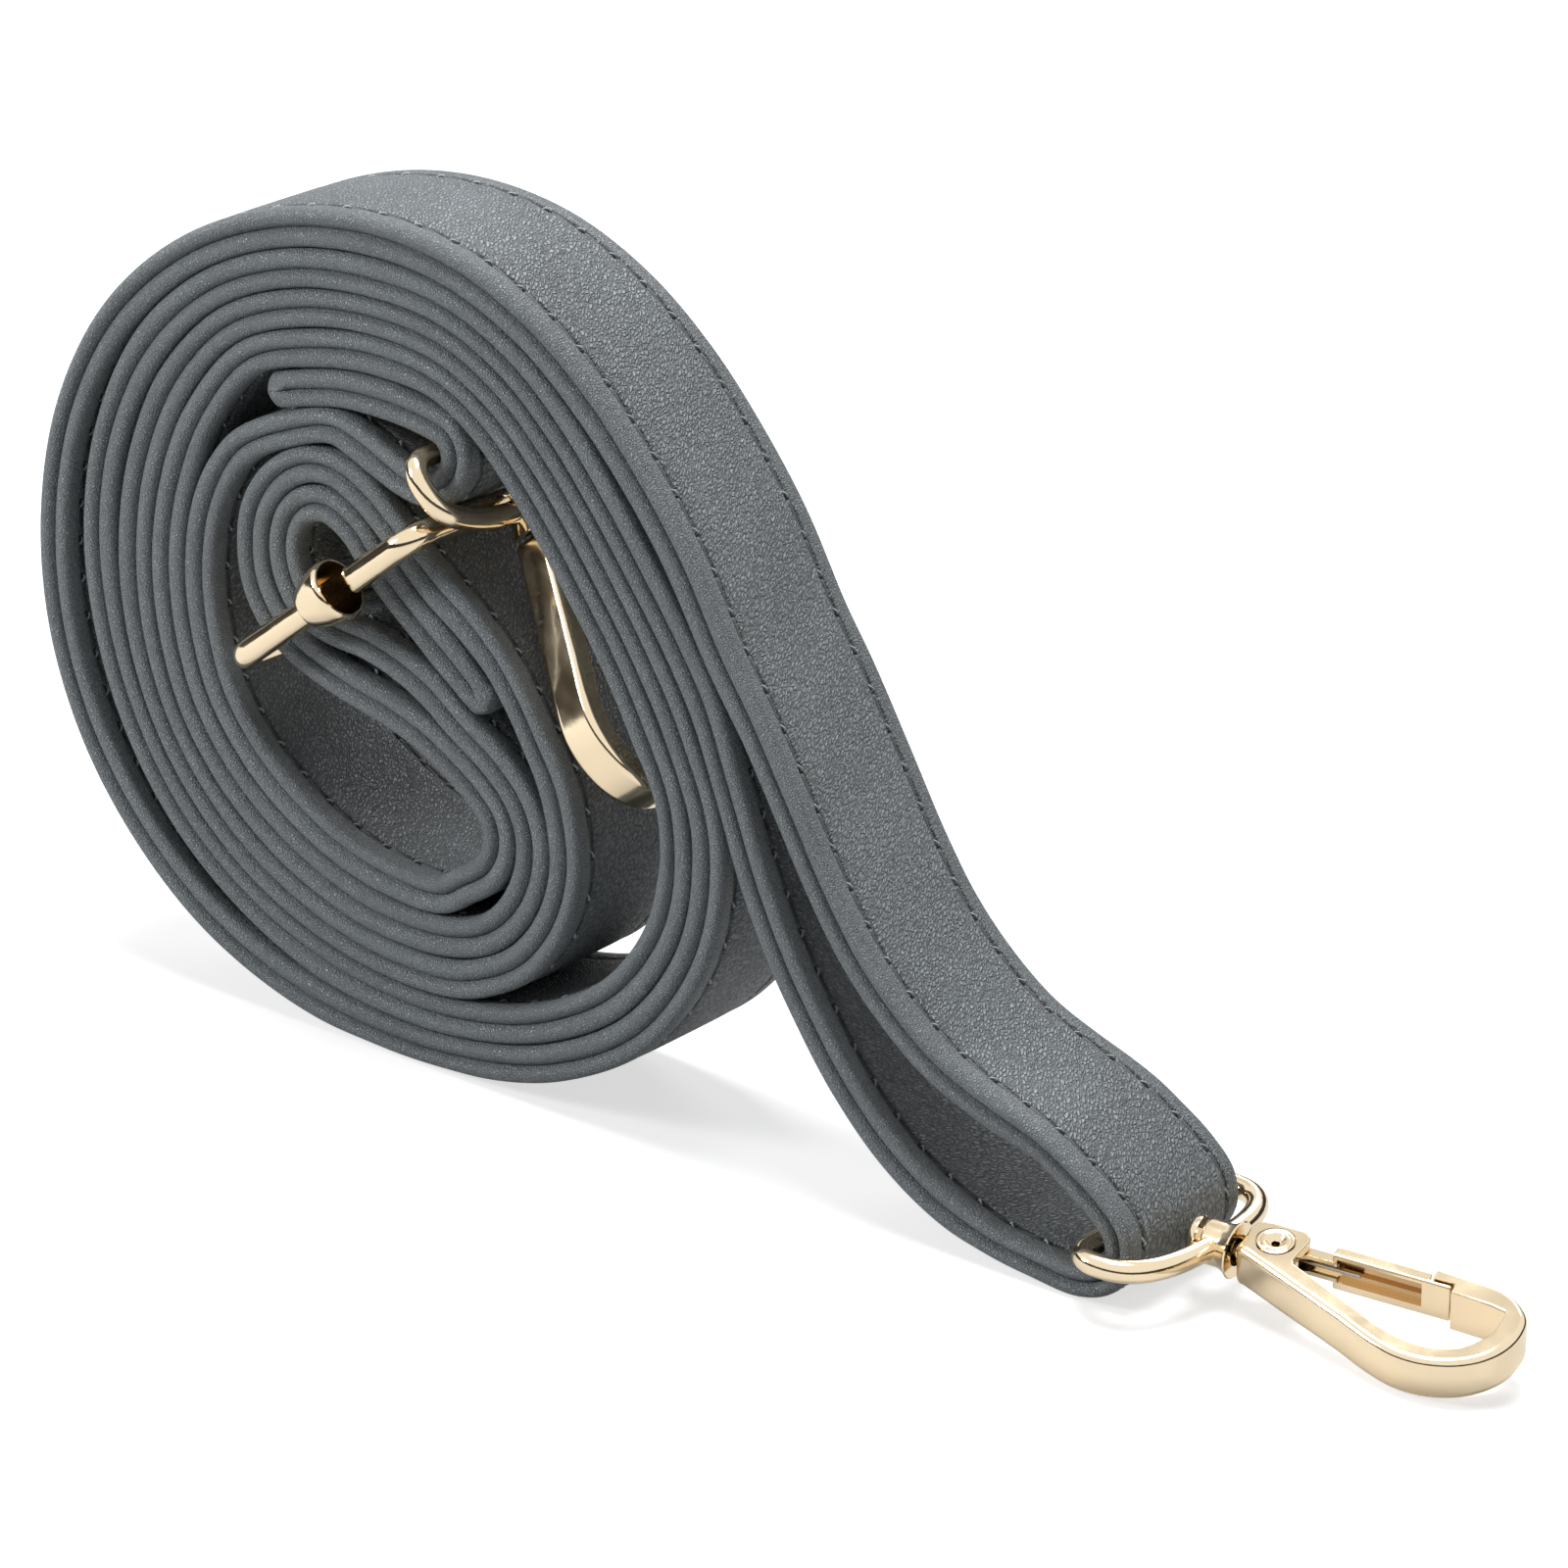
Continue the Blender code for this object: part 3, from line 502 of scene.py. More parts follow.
def lap(shares):
    return [
        (COIL_CENTER_SHARES[0] + radius * math.cos(math.radians(angle)),
         COIL_CENTER_SHARES[1] + radius * math.sin(math.radians(angle)))
        for angle, radius in shares
    ]


class Route:
    """The strap's middle line at even steps, with its sides and the room that it has there."""

    def __init__(self, pitch):
        eye = arc(EYE_TURN_CENTER_SHARES, EYE_TURN_SHARE, 90, -90, 6)
        shares = END_A_SHARES + eye + EYE_EXIT_SHARES + lap(INNER_LAP_SHARES) + SLIDER_LAP_SHARES
        shares += lap(OUTER_LAP_SHARES) + TAIL_SHARES + lap(RETURN_LAP_SHARES) + END_B_SHARES
        line = smooth_line([route_place(point) for point in shares], SPLINE_STEPS) + coil_center()
        self.travel = np.concatenate(
            ([0], np.cumsum(np.linalg.norm(np.diff(line, axis=0), axis=1))))
        self.line = line
        self.length = self.travel[-1]
        way = np.gradient(line, axis=0)
        way /= np.linalg.norm(way, axis=1)[:, None]
        self.side = np.stack((-way[:, 1], way[:, 0]), axis=1)
        self.step = pitch / ROWS_PER_STITCH
        self.stations = np.arange(0.0, self.length, self.step)

    def at(self, travel):
        """Places and sides at distances along the strap."""
        place = np.stack([np.interp(travel, self.travel, self.line[:, k]) for k in (0, 1)], axis=-1)
        side = np.stack([np.interp(travel, self.travel, self.side[:, k]) for k in (0, 1)], axis=-1)
        side /= np.linalg.norm(side, axis=-1)[..., None]
        return place, side

    def half_thickness(self, facing):
        """How thick one ply lies at each station: it swells where there is room beside it."""
        place, side = self.at(self.stations)
        side = side * facing
        away = place[None, :, :] - place[:, None, :]
        reach = np.linalg.norm(away, axis=2)
        ahead = np.einsum("ijk,ik->ij", away, side)
        apart = np.abs(self.stations[None, :] - self.stations[:, None]) > NEIGHBOUR_TRAVEL
        near = np.where(apart & (ahead > 0.7 * reach), reach, 1.0).min(axis=1) / 2
        full = np.interp(near, (HALF_SWOLLEN, SWOLLEN_REACH), (HALF_SWOLLEN, HALF_FREE))
        room = np.minimum(near - PLY_SEAM / 2, full)
        for spot, radius in self.obstacles():
            gone = spot[None, :] - place
            reach = np.linalg.norm(gone, axis=1)
            ahead = np.einsum("ik,ik->i", gone, side)
            room = np.where(ahead > 0.3 * reach, np.minimum(room, reach - radius), room)
        bar = ring_frame("b").translation
        reach = np.linalg.norm(place - np.array((bar.x, bar.z)), axis=1)
        room = np.minimum(room, np.interp(reach, FOLD_REACH, (HALF_FOLD, HALF_SWOLLEN)))
        down = np.maximum(-side[:, 1], 0.01)
        room = np.minimum(room, place[:, 1] / down - FLOOR_CLEARANCE)
        room = np.maximum(room, HALF_THIN)
        window = max(1, round(SWELL_WINDOW / self.step))
        padded = np.pad(room, window, mode="edge")
        least = np.min([padded[k:k + len(room)] for k in range(2 * window + 1)], axis=0)
        weights = np.hanning(2 * window + 3)[1:-1]
        weights /= weights.sum()
        return np.convolve(np.pad(least, window, mode="edge"), weights, mode="valid")

    def obstacles(self):
        """The bars and the hook that lie in the coil: places and radii."""
        spots = []
        for tag in "ab":
            bar = ring_frame(tag).translation
            spots.append((np.array((bar.x, bar.z)), WIRE_RADIUS + BAR_CLEARANCE))
        holder = slider_frame()
        middle = -SLIDER_LENGTH * (1 - CENTER_BAR_PLACE_SHARE)
        for along, radius in ((0, WIRE_RADIUS), (-SLIDER_LENGTH, WIRE_RADIUS),
                              (middle + SLIDE_RANGE[0], CENTER_BAR_RADIUS),
                              (middle + SLIDE_RANGE[1], CENTER_BAR_RADIUS)):
            spot = holder @ Vector((along, 0, 0))
            spots.append((np.array((spot.x, spot.z)), radius + BAR_CLEARANCE))
        hook = gate_frame("a")
        for share in np.linspace(-0.12, 1.0, 40):
            spot = hook @ Vector((HOOK_REACH * share, 0, 0))
            spots.append((np.array((spot.x, spot.z)), HOOK_THICKNESS / 2 + HOOK_SWING_ROOM))
        return spots


# Leather

def ply_section(half, closing):
    """One ply's section: y across and height off the middle line, round from its inner middle.

    half is how far its outer face lies, and closing is 1 where a turned end closes the seam.
    """
    wide = STRAP_WIDTH / 2
    low = PLY_SEAM
    middle = low + (half - low) / 2 * (1 - closing)
    under, over = middle - low, half - middle
    inset = wide - EDGE_ROUND
    right = [(0, low, 0), (0.4 * inset, low, 0), (0.75 * inset, low, 0), (inset - 0.4 * MM, low, 0)]
    for k in range(13):
        turn = math.radians(-90 + 180 * k / 12)
        soft = SEAM_SOFT_SHARE * (1 - closing) if turn < 0 else 0
        rise = (1 - soft) * math.sin(turn) + soft * turn / (math.pi / 2)
        lift = (under if turn < 0 else over) * rise
        dip = SEAM_DIP_SHARE * (1 - closing) if turn < 0 else 1
        right.append((inset + EDGE_ROUND * (1 - dip * (1 - math.cos(turn))), middle + lift, 0))
    row = wide - ROW_INSET
    right.append((inset - 0.35 * MM, half + 0.02 * MM, 0))
    right.append((row + 0.9 * MM, half + 0.01 * MM, 0))
    for off, dip in GROOVE_SHAPE:
        right.append((row + off * MM, half, dip))
    right += [(row - 1.0 * MM, half + 0.03 * MM, 0), (row - 2.4 * MM, half + 0.06 * MM, 0),
              (0.3 * row, half + 0.07 * MM, 0), (0, half + 0.07 * MM, 0)]
    return right + [(-y, h, dip) for y, h, dip in reversed(right[1:-1])]


GROOVE_SHAPE = [
    # place off the row in millimetres, and share of the groove's depth
    (0.62, 0.1), (0.34, 0.3), (0.18, 0.8), (0, 1.0), (-0.18, 0.8), (-0.34, 0.3), (-0.62, 0.1),
]


def make_ply(name, route, facing, halves, pitch):
    """A leather ply along the route, on one side of the strap's middle line."""
    stations = route.stations
    tips = [share * END_ROUND for share in END_TIP_SHARES]
    travel = np.concatenate((tips, stations[3:-3], route.length - np.array(tips)[::-1]))
    half = np.interp(travel, stations, halves)
    place, side = route.at(travel)
    side = side * facing
    to_end = np.minimum(travel, route.length - travel)
    closing = np.clip(1 - (to_end - END_ROUND) / (END_CLOSE - END_ROUND), 0, 1)
    closing = closing * closing * (3 - 2 * closing)
    share = np.clip(to_end / END_ROUND, 0, 1)
    taper = np.sqrt(1 - (1 - share) ** 2)
    to_hole = np.abs((travel + pitch / 2) % pitch - pitch / 2)
    dip = GROOVE_DEPTH + HOLE_DEPTH * np.exp(-(to_hole / HOLE_REACH) ** 2)
    rows, run, sunk = [], [], []
    for k in range(len(travel)):
        section = ply_section(half[k], closing[k])
        ring, around = [], 0.0
        for j, (y, height, depth) in enumerate(section):
            height = (height - depth * dip[k]) * (taper[k] if share[k] < 1 else 1)
            y *= 1 - (1 - taper[k]) * EDGE_ROUND / (STRAP_WIDTH / 2)
            if j:
                around += math.hypot(y - last[0], height - last[1])
            last = (y, height)
            ring.append((place[k, 0] + side[k, 0] * height, y, place[k, 1] + side[k, 1] * height))
            run.append((travel[k], around, facing * 0.1))
            sunk.append(depth)
        rows.append(ring)
    piece = skin(name, rows, Matrix.Identity(4))
    mesh = piece.data
    mesh.shade_smooth()
    store(mesh, "strap_run", run, "FLOAT_VECTOR")
    across = np.abs([point[1] for ring in rows for point in ring])
    border = np.clip((across - (STRAP_WIDTH / 2 - ROW_INSET + 0.3 * MM)) / (0.5 * MM), 0, 1)
    store(mesh, "strap_border", border)
    store(mesh, "strap_groove", sunk)
    return piece


STITCH_LINE = [
    # share of the pitch, height off the groove in thread radii, slant in thread radii, and share of
    # painted highlight at the raised nick
    (0.02, -2.4, 0.5, 0.2), (0.05, -0.4, 0.3, 0.2), (0.14, 0.0, 0.0, 0.0), (0.38, -0.2, -0.2, 0.0),
    (0.62, -0.6, -0.3, 0.0), (0.78, -0.8, -0.5, 0.0), (0.82, 0.3, -0.5, 0.7),
    (0.86, 0.85, -0.2, 1.0), (0.905, 1.0, 0.4, 1.0), (0.95, 0.8, 1.0, 1.0),
    (0.98, -0.2, 1.3, 0.7), (1.0, -2.4, 1.4, 0.3),
]


def make_stitches(name, route, facing, halves, pitch, radius):
    """Both rows of stitches on one face: each sinks into its two holes and slants at one end."""
    count = int(route.length / pitch) - 1
    sides = STITCH_SIDES
    verts, faces, nick_highlights = [], [], []
    for row in (-1, 1):
        across = row * (STRAP_WIDTH / 2 - ROW_INSET)
        for k in range(1, count):
            travel = np.array([(k + knot[0]) * pitch for knot in STITCH_LINE])
            place, side = route.at(travel)
            side = side * facing
            half = np.interp(travel, route.stations, halves) - GROOVE_DEPTH
            first = len(verts)
            for j, (_, height, slant, nick_highlight) in enumerate(STITCH_LINE):
                for one, two in circle(radius * (1 - 0.4 * nick_highlight), sides):
                    lift = half[j] + height * radius + two
                    y = across + slant * radius + one
                    x, z = place[j] + side[j] * lift
                    verts.append((x, y, z))
                    nick_highlights.append(nick_highlight)
            last = len(STITCH_LINE) - 1
            faces.append([first + m for m in range(sides)])
            faces.append([first + last * sides + m for m in reversed(range(sides))])
            for j in range(last):
                for m in range(sides):
                    a = first + j * sides + m
                    b = first + j * sides + (m + 1) % sides
                    faces.append([b, a, a + sides, b + sides])
    mesh = bpy.data.meshes.new(name)
    mesh.from_pydata(verts, [], faces)
    shape = bmesh.new()
    shape.from_mesh(mesh)
    bmesh.ops.recalc_face_normals(shape, faces=shape.faces)
    shape.to_mesh(mesh)
    shape.free()
    mesh.shade_smooth()
    store(mesh, "thread_painted_highlight", nick_highlights)
    return link(name, mesh)


# Hardware

def make_slider():
    """The slider's closed wire frame."""
    half = STRAP_WIDTH / 2 + SLIDER_SIDE_GAP + WIRE_RADIUS
    far, corner = -SLIDER_LENGTH, SLIDER_CORNER_RADIUS
    path = arc((-corner, half - corner), corner, 0, 90, 10)
    path += arc((far + corner, half - corner), corner, 90, 180, 10)
    path += arc((far + corner, corner - half), corner, 180, 270, 10)
    path += arc((-corner, corner - half), corner, 270, 360, 10)
    return finish_piece(wire("slider_wire", path, SLIDER_WIRE_RADIUS, slider_frame(), True),
                        weighted=False)


def make_slider_bar():
    """The slider's centre bar, with a flared collar at each end."""
    half = STRAP_WIDTH / 2 + SLIDER_SIDE_GAP + WIRE_RADIUS
    middle = -SLIDER_LENGTH * (1 - CENTER_BAR_PLACE_SHARE)
    place = slider_frame() @ Matrix.Translation((middle, 0, 0))
    bore = WIRE_RADIUS + COLLAR_PLAY
    seat = half - WIRE_RADIUS - COLLAR_INNER_GAP + bore
    end = seat - bore
    bar = turned("slider_bar", [(-end, CENTER_BAR_RADIUS), (end, CENTER_BAR_RADIUS)], "Y", place)
    reach = COLLAR_LENGTH / 2
    helpers = []
    for side in (-1, 1):
        spot = (0, side * seat, 0)
        outside, inside = [], []
        for k in range(17):
            along = k / 16
            swell = math.sin(math.pi / 2 * along) ** 0.8
            radius = COLLAR_NECK_RADIUS + (COLLAR_MOUTH_RADIUS - COLLAR_NECK_RADIUS) * swell
            lip = COLLAR_WALL * 0.5 * max(0, (along - 0.9) / 0.1, (0.06 - along) / 0.06) ** 2
            outside.append((reach * (2 * along - 1), radius + COLLAR_WALL - lip))
            inside.append((reach * (2 * along - 1), radius))
        inside = [(-reach - CUT_OVERRUN, inside[0][1])] + inside
        inside += [(reach + CUT_OVERRUN, inside[-1][1])]
        cup = turned("outside", outside, "X", place, center=spot)
        hollow = turned("inside", inside, "X", place, center=spot)
        helpers += [combine(bar, cup, "UNION"), combine(bar, hollow, "DIFFERENCE")]
    return finish_piece(bar, helpers, angle=45, weighted=False)


def make_ring(tag):
    """The D ring with the swivel's boss at its top."""
    place = ring_frame(tag)
    half = STRAP_WIDTH / 2 + RING_SIDE_GAP + WIRE_RADIUS
    corner = RING_CORNER_RADIUS
    crown = RING_DEPTH - ARCH_DROP - corner
    arch = []
    for k in range(1, 48):
        angle = math.pi * k / 48
        across = math.copysign(abs(math.cos(angle)) ** ARCH_FULLNESS, math.cos(angle))
        arch.append((corner + crown * math.sin(angle) ** ARCH_FULLNESS, half * across))
    path = arc((corner, corner - half), corner, 270, 180, 10)
    path += arc((corner, half - corner), corner, 180, 90, 10)
    path += arch
    loop = wire(f"hook_{tag}_ring_wire", path, WIRE_RADIUS, place, True)
    start, stop = RING_DEPTH - BOSS_LENGTH / 2, RING_DEPTH + BOSS_LENGTH / 2
    profile = [
        (start, BOSS_RADIUS - 0.25 * MM), (start + 0.08 * MM, BOSS_RADIUS - 0.08 * MM),
        (start + 0.25 * MM, BOSS_RADIUS), (stop - 1.5 * MM, BOSS_RADIUS),
        (stop - 1.2 * MM, BOSS_RADIUS + 0.04 * MM), (stop - 0.9 * MM, BOSS_RADIUS + 0.14 * MM),
        (stop - 0.6 * MM, BOSS_RADIUS + 0.28 * MM), (stop - 0.3 * MM, BOSS_RADIUS + 0.46 * MM),
        (stop - 0.12 * MM, BOSS_FLARE_RADIUS - 0.05 * MM), (stop, BOSS_FLARE_RADIUS - 0.15 * MM),
    ]
    bore = SHANK_RADIUS + SHANK_PLAY
    hole = [(start - CUT_OVERRUN, bore), (stop + CUT_OVERRUN, bore)]
    helpers = [combine(loop, turned("boss", profile, "X", place), "UNION"),
               combine(loop, turned("bore", hole, "X", place), "DIFFERENCE")]
    return finish_piece(loop, helpers, weighted=False)


def make_post(tag):
    """The headed post that the hook turns on."""
    head = -BOSS_LENGTH / 2 - SWIVEL_PLAY
    heel = BOSS_LENGTH / 2 + SWIVEL_PLAY
    tip = heel + HEEL_LENGTH - GATE_EYE_RADIUS - 2 * FIT_GAP
    far = head - HEAD_LENGTH
    profile = [
        (far, 0.35 * HEAD_RADIUS), (far + 0.06 * MM, 0.62 * HEAD_RADIUS),
        (far + 0.16 * MM, 0.82 * HEAD_RADIUS), (far + 0.32 * MM, 0.95 * HEAD_RADIUS),
        (far + 0.5 * MM, HEAD_RADIUS), (head - 0.06 * MM, HEAD_RADIUS),
        (head, HEAD_RADIUS - 0.06 * MM), (head, SHANK_RADIUS), (tip, SHANK_RADIUS),
    ]
    return finish_piece(turned(f"hook_{tag}_post", profile, "X", swivel_frame(tag)), weighted=False)


def gate_tip():
    return HOOK_REACH - HOOK_BAR_WIDTH - SEAT_LENGTH - GATE_WIDTH


def hook_outline():
    """The cast body's outline from the rivet: heel, bar, bend, nose, seat and fork."""
    reach, depth, bar = HOOK_REACH, HOOK_DEPTH, HOOK_BAR_WIDTH
    nose_top = HEEL_HALF_WIDTH - FIT_GAP
    lip = nose_top - NOSE_STEP_DEPTH
    nose = gate_tip() - NOSE_LIP_LENGTH + FIT_GAP
    seat_u = reach - bar
    seat_top = nose_top - bar * SEAT_DROP_SHARE
    outer = [(reach * u, -depth * v) for u, v in HOOK_OUTER_SHARES]
    crest = [(reach - bar * u, nose_top - bar * v) for u, v in HOOK_CREST_SHARES]
    bend = smooth_line(outer + crest, 7).tolist()
    nose_end = [(nose, nose_top), (nose, lip), (gate_tip() + FIT_GAP, lip),
                (gate_tip() + FIT_GAP, nose_top - bar)]
    turn = (seat_u - bar * SEAT_CORNER_SHARES[0], nose_top - bar * SEAT_CORNER_SHARES[1])
    seat = [turn, (seat_u, seat_top), (seat_u, seat_top - SEAT_LENGTH)]
    inner = [(reach * u, -depth * v) for u, v in HOOK_INNER_SHARES]
    inner = smooth_line([seat[2]] + inner, 5).tolist()[1:]
    half = HEEL_HALF_WIDTH
    fork = [(CHEEK_REACH + FIT_GAP, -SLOT_FRONT - FIT_GAP), (CHEEK_REACH, -SLOT_FRONT + FIT_GAP),
            (CHEEK_END, 0.5 * half), (CHEEK_END - 0.1 * MM, 0.68 * half),
            (CHEEK_REACH, 0.86 * half), (CHEEK_REACH - 0.5 * MM, 0.96 * half)]
    heel = [(-0.4 * HEEL_END, half)]
    heel += [(-HEEL_END * u, half * v)
             for u, v in ((0.66, 0.93), (0.84, 0.74), (0.95, 0.44), (1, 0))]
    foot = arc((HEEL_FOOT_ROUND - HEEL_END, HEEL_FOOT_ROUND - half), HEEL_FOOT_ROUND, 180, 270, 3)
    outline = heel + foot + bend + nose_end + seat + inner + fork
    fading = np.linspace(1.0, 0.4, 20).tolist()
    rounds = [0.4] * (len(heel) - 1) + [1.0] * (len(foot) + len(bend) + 1 - len(fading)) + fading
    rounds += [0.15] * len(nose_end) + [0.25] * len(seat) + [0.4] * len(inner) + [0.25] * len(fork)
    return outline, rounds


def cast_plate(name, outline, widths, half, place):
    """A flat piece whose top and bottom edges are rounded, by a width for each outline point."""
    points, widths = np.array(outline), np.array(widths)
    back = points - np.roll(points, 1, axis=0)
    ahead = np.roll(back, -1, axis=0)
    wound = np.sign(np.sum(points[:, 0] * ahead[:, 1] - points[:, 1] * ahead[:, 0]))
    one, two = (wound * np.stack((-way[:, 1], way[:, 0]), axis=1)
                / np.linalg.norm(way, axis=1)[:, None] for way in (back, ahead))
    inward = (one + two) / (1 + np.sum(one * two, axis=1))[:, None]
    rings = []
    for k in range(EDGE_STEPS + 1):
        turn = math.pi / 2 * k / EDGE_STEPS
        spots = points + inward * (widths * (1 - math.sin(turn)))[:, None]
        rings.append(np.column_stack((spots, half - widths * (1 - math.cos(turn)))))
    lower = [ring * (1, 1, -1) for ring in rings]
    return skin(name, [ring.tolist() for ring in lower + rings[::-1]], place)


def make_hook(tag, edge):
    """The cast hook body, its edges rounded and its fork open for the gate."""
    place = gate_frame(tag)
    half = HOOK_THICKNESS / 2
    outline, rounds = hook_outline()
    widths = [share * edge / INNER_EDGE_SHARE for share in rounds]
    body = cast_plate(f"hook_{tag}_cast_body", outline, widths, half, place)
    slot = SLOT_HEIGHT / 2
    root = -GATE_EYE_RADIUS - FIT_GAP
    front, top = CHEEK_END + CUT_OVERRUN, HEEL_HALF_WIDTH + CUT_OVERRUN
    opening = [(root, -SLOT_FRONT), (front, -SLOT_FRONT), (front, top), (root, top)]
    bore = SHANK_RADIUS + FIT_GAP
    ends = [(-HEEL_END - CUT_OVERRUN, bore), (root + FIT_GAP, bore)]
    sink = half + RIVET_HEAD_RISE - RIVET_HEAD_LENGTH - FIT_GAP
    hole, wide, top = RIVET_RADIUS + FIT_GAP, RIVET_HEAD_RADIUS + FIT_GAP, half + CUT_OVERRUN
    stepped = [(-top, wide), (-sink, wide), (-sink, hole), (sink, hole), (sink, wide), (top, wide)]
    helpers = [combine(body, plate("slot", opening, -slot, slot, place), "DIFFERENCE"),
               combine(body, turned("post_bore", ends, "X", place), "DIFFERENCE"),
               combine(body, turned("rivet_hole", stepped, "Z", place), "DIFFERENCE")]
    return finish_piece(body, helpers, angle=40)


def make_rivet(tag):
    """The tubular rivet, its rolled heads sunk into the two cheeks."""
    top = HOOK_THICKNESS / 2 + RIVET_HEAD_RISE
    under = top - RIVET_HEAD_LENGTH
    roll = RIVET_ROLL_RADIUS
    head = [(-top + 0.5 * MM, RIVET_BORE_RADIUS), (-top + 0.42 * MM, 0.34 * roll),
            (-top + 0.26 * MM, 0.45 * roll), (-top + 0.1 * MM, 0.52 * roll),
            (-top + 0.02 * MM, 0.58 * roll), (-top, 0.65 * roll), (-top + 0.03 * MM, 0.73 * roll),
            (-top + 0.12 * MM, 0.78 * roll), (-top + 0.13 * MM, 0.84 * roll),
            (-top + 0.08 * MM, 0.9 * roll), (-top + 0.12 * MM, 0.97 * roll),
            (-top + 0.22 * MM, roll), (-under, roll), (-under, RIVET_RADIUS)]
    profile = head + [(-along, radius) for along, radius in reversed(head)]
    return finish_piece(turned(f"hook_{tag}_rivet", profile, "Z", gate_frame(tag), loop=True),
                        weighted=False)


def make_gate(tag):
    """The sprung gate: a folded channel, its web outside, with a narrow neck in the fork."""
    place = gate_frame(tag)
    nose_top = HEEL_HALF_WIDTH - FIT_GAP
    under_lip = nose_top - NOSE_STEP_DEPTH - TONGUE_GAP
    shoulder = CHEEK_REACH + 2 * GATE_EYE_RADIUS - FIT_GAP
    tip = gate_tip()
    step = tip - NOSE_LIP_LENGTH
    inner = nose_top - FLANGE_WIDTH
    tall = GATE_HEIGHT / 2
    outline = [(shoulder, inner), (tip, inner), (tip, under_lip), (step, under_lip),
               (step, nose_top - FIT_GAP), (shoulder + GATE_WALL, nose_top - FIT_GAP),
               (shoulder, nose_top - GATE_WALL)]
    channel = plate(f"hook_{tag}_folded_gate", outline, -tall, tall, place)
    rounded(channel, 0.2 * MM, angle=50)
    eye = arc((0, 0), GATE_EYE_RADIUS, 270, 60, 20)
    past = shoulder + GATE_WALL + FIT_GAP
    neck_top = nose_top - 2 * FIT_GAP
    neck = eye + [(GATE_EYE_RADIUS, neck_top), (past, neck_top), (past, inner),
                  (CHEEK_END + FIT_GAP, inner), (GATE_EYE_RADIUS, 0)]
    low = NECK_TALL / 2
    wall = GATE_WALL
    web = nose_top - FIT_GAP - wall
    low_side, start, stop = inner - CUT_OVERRUN, shoulder + wall, tip - TONGUE_LENGTH
    hollow = [(start, low_side), (stop, low_side), (stop, web), (start, web)]
    shelf_top = web + wall - STEP_WALL
    shelf = [(start, low_side), (stop, low_side), (stop, shelf_top), (start, shelf_top)]
    inside = low - wall
    clear = GATE_EYE_RADIUS + CUT_OVERRUN
    loop_clear = RIVET_RADIUS + 2 * FIT_GAP + 2 * SPRING_WIRE_RADIUS
    neck_hollow = [(-clear, -clear), (past, -clear), (past, neck_top - wall),
                   (loop_clear, neck_top - wall), (loop_clear, clear), (-clear, clear)]
    hole = RIVET_RADIUS + FIT_GAP
    helpers = [
        combine(channel, plate("neck", neck, -low, low, place), "UNION"),
        combine(channel, plate("hollow", hollow, -0.1 * MM, tall - wall, place), "DIFFERENCE"),
        combine(channel, plate("shelf", shelf, LOWER_WALL - tall, 0, place), "DIFFERENCE"),
        combine(channel, plate("neck_hollow", neck_hollow, -inside, inside, place), "DIFFERENCE"),
        combine(channel, turned("hole", [(-tall, hole), (tall, hole)], "Z", place), "DIFFERENCE"),
    ]
    rounded(channel, 0.06 * MM, angle=60, segments=2)
    gate = finish_piece(channel, helpers)
    # Painted shade: faces deep in the channel's recess are marked for a darker, browner plate
    # colour.
    shades = []
    for face in gate.data.polygons:
        spot = face.center
        deep = inner + FIT_GAP < spot.y < web + 0.1 * MM
        along = start - 0.1 * MM < spot.x < stop + 0.1 * MM
        within = LOWER_WALL - tall < spot.z < tall - wall
        shades.append(1.0 if deep and along and within else 0.0)
    store(gate.data, "plate_painted_shade", shades, domain="FACE")
    return gate


def make_spring(tag):
    """The gate's spring: one turn round the rivet and a leg along the channel."""
    turn = RIVET_RADIUS + FIT_GAP + SPRING_WIRE_RADIUS
    shoulder = CHEEK_REACH + 2 * GATE_EYE_RADIUS
    path = arc((0, 0), turn, -60, -300, 24)
    rest = HEEL_HALF_WIDTH - 3 * FIT_GAP - GATE_WALL - SPRING_WIRE_RADIUS
    path += [(turn + GATE_EYE_RADIUS, rest), (shoulder, rest), (shoulder + HOOK_BAR_WIDTH, rest)]
    spring = wire(f"hook_{tag}_bent_spring", path, SPRING_WIRE_RADIUS, gate_frame(tag), False, 12)
    return finish_piece(spring, weighted=False)


# Finishes

def add(tree, kind, settings=None, values=None):
    """A node with its settings, and its inputs set or linked by name or number."""
    node = tree.nodes.new(kind)
    for key, value in (settings or {}).items():
        setattr(node, key, value)
    for key, value in (values or {}).items():
        if isinstance(value, bpy.types.NodeSocket):
            tree.links.new(value, node.inputs[key])
        else:
            node.inputs[key].default_value = value
    return node


def stored(tree, name, output="Fac"):
    return add(tree, "ShaderNodeAttribute", {"attribute_name": name}).outputs[output]


def mixed(tree, mask, one, two):
    """One colour or the other, by a mask."""
    return add(tree, "ShaderNodeMix", {"data_type": "RGBA"}, {0: mask, 6: one, 7: two}).outputs[2]


def raise_bump(tree, shader, height, strength, depth):
    bump = add(tree, "ShaderNodeBump", None,
               {"Height": height, "Strength": strength, "Distance": depth})
    tree.links.new(bump.outputs[0], shader.inputs["Normal"])


def math_node(tree, operation, *values):
    return add(tree, "ShaderNodeMath", {"operation": operation}, dict(enumerate(values))).outputs[0]


def remap(tree, value, low, high, to_low, to_high):
    values = {"Value": value, "From Min": low, "From Max": high,
              "To Min": to_low, "To Max": to_high}
    return add(tree, "ShaderNodeMapRange", {"interpolation_type": "SMOOTHSTEP"}, values).outputs[0]


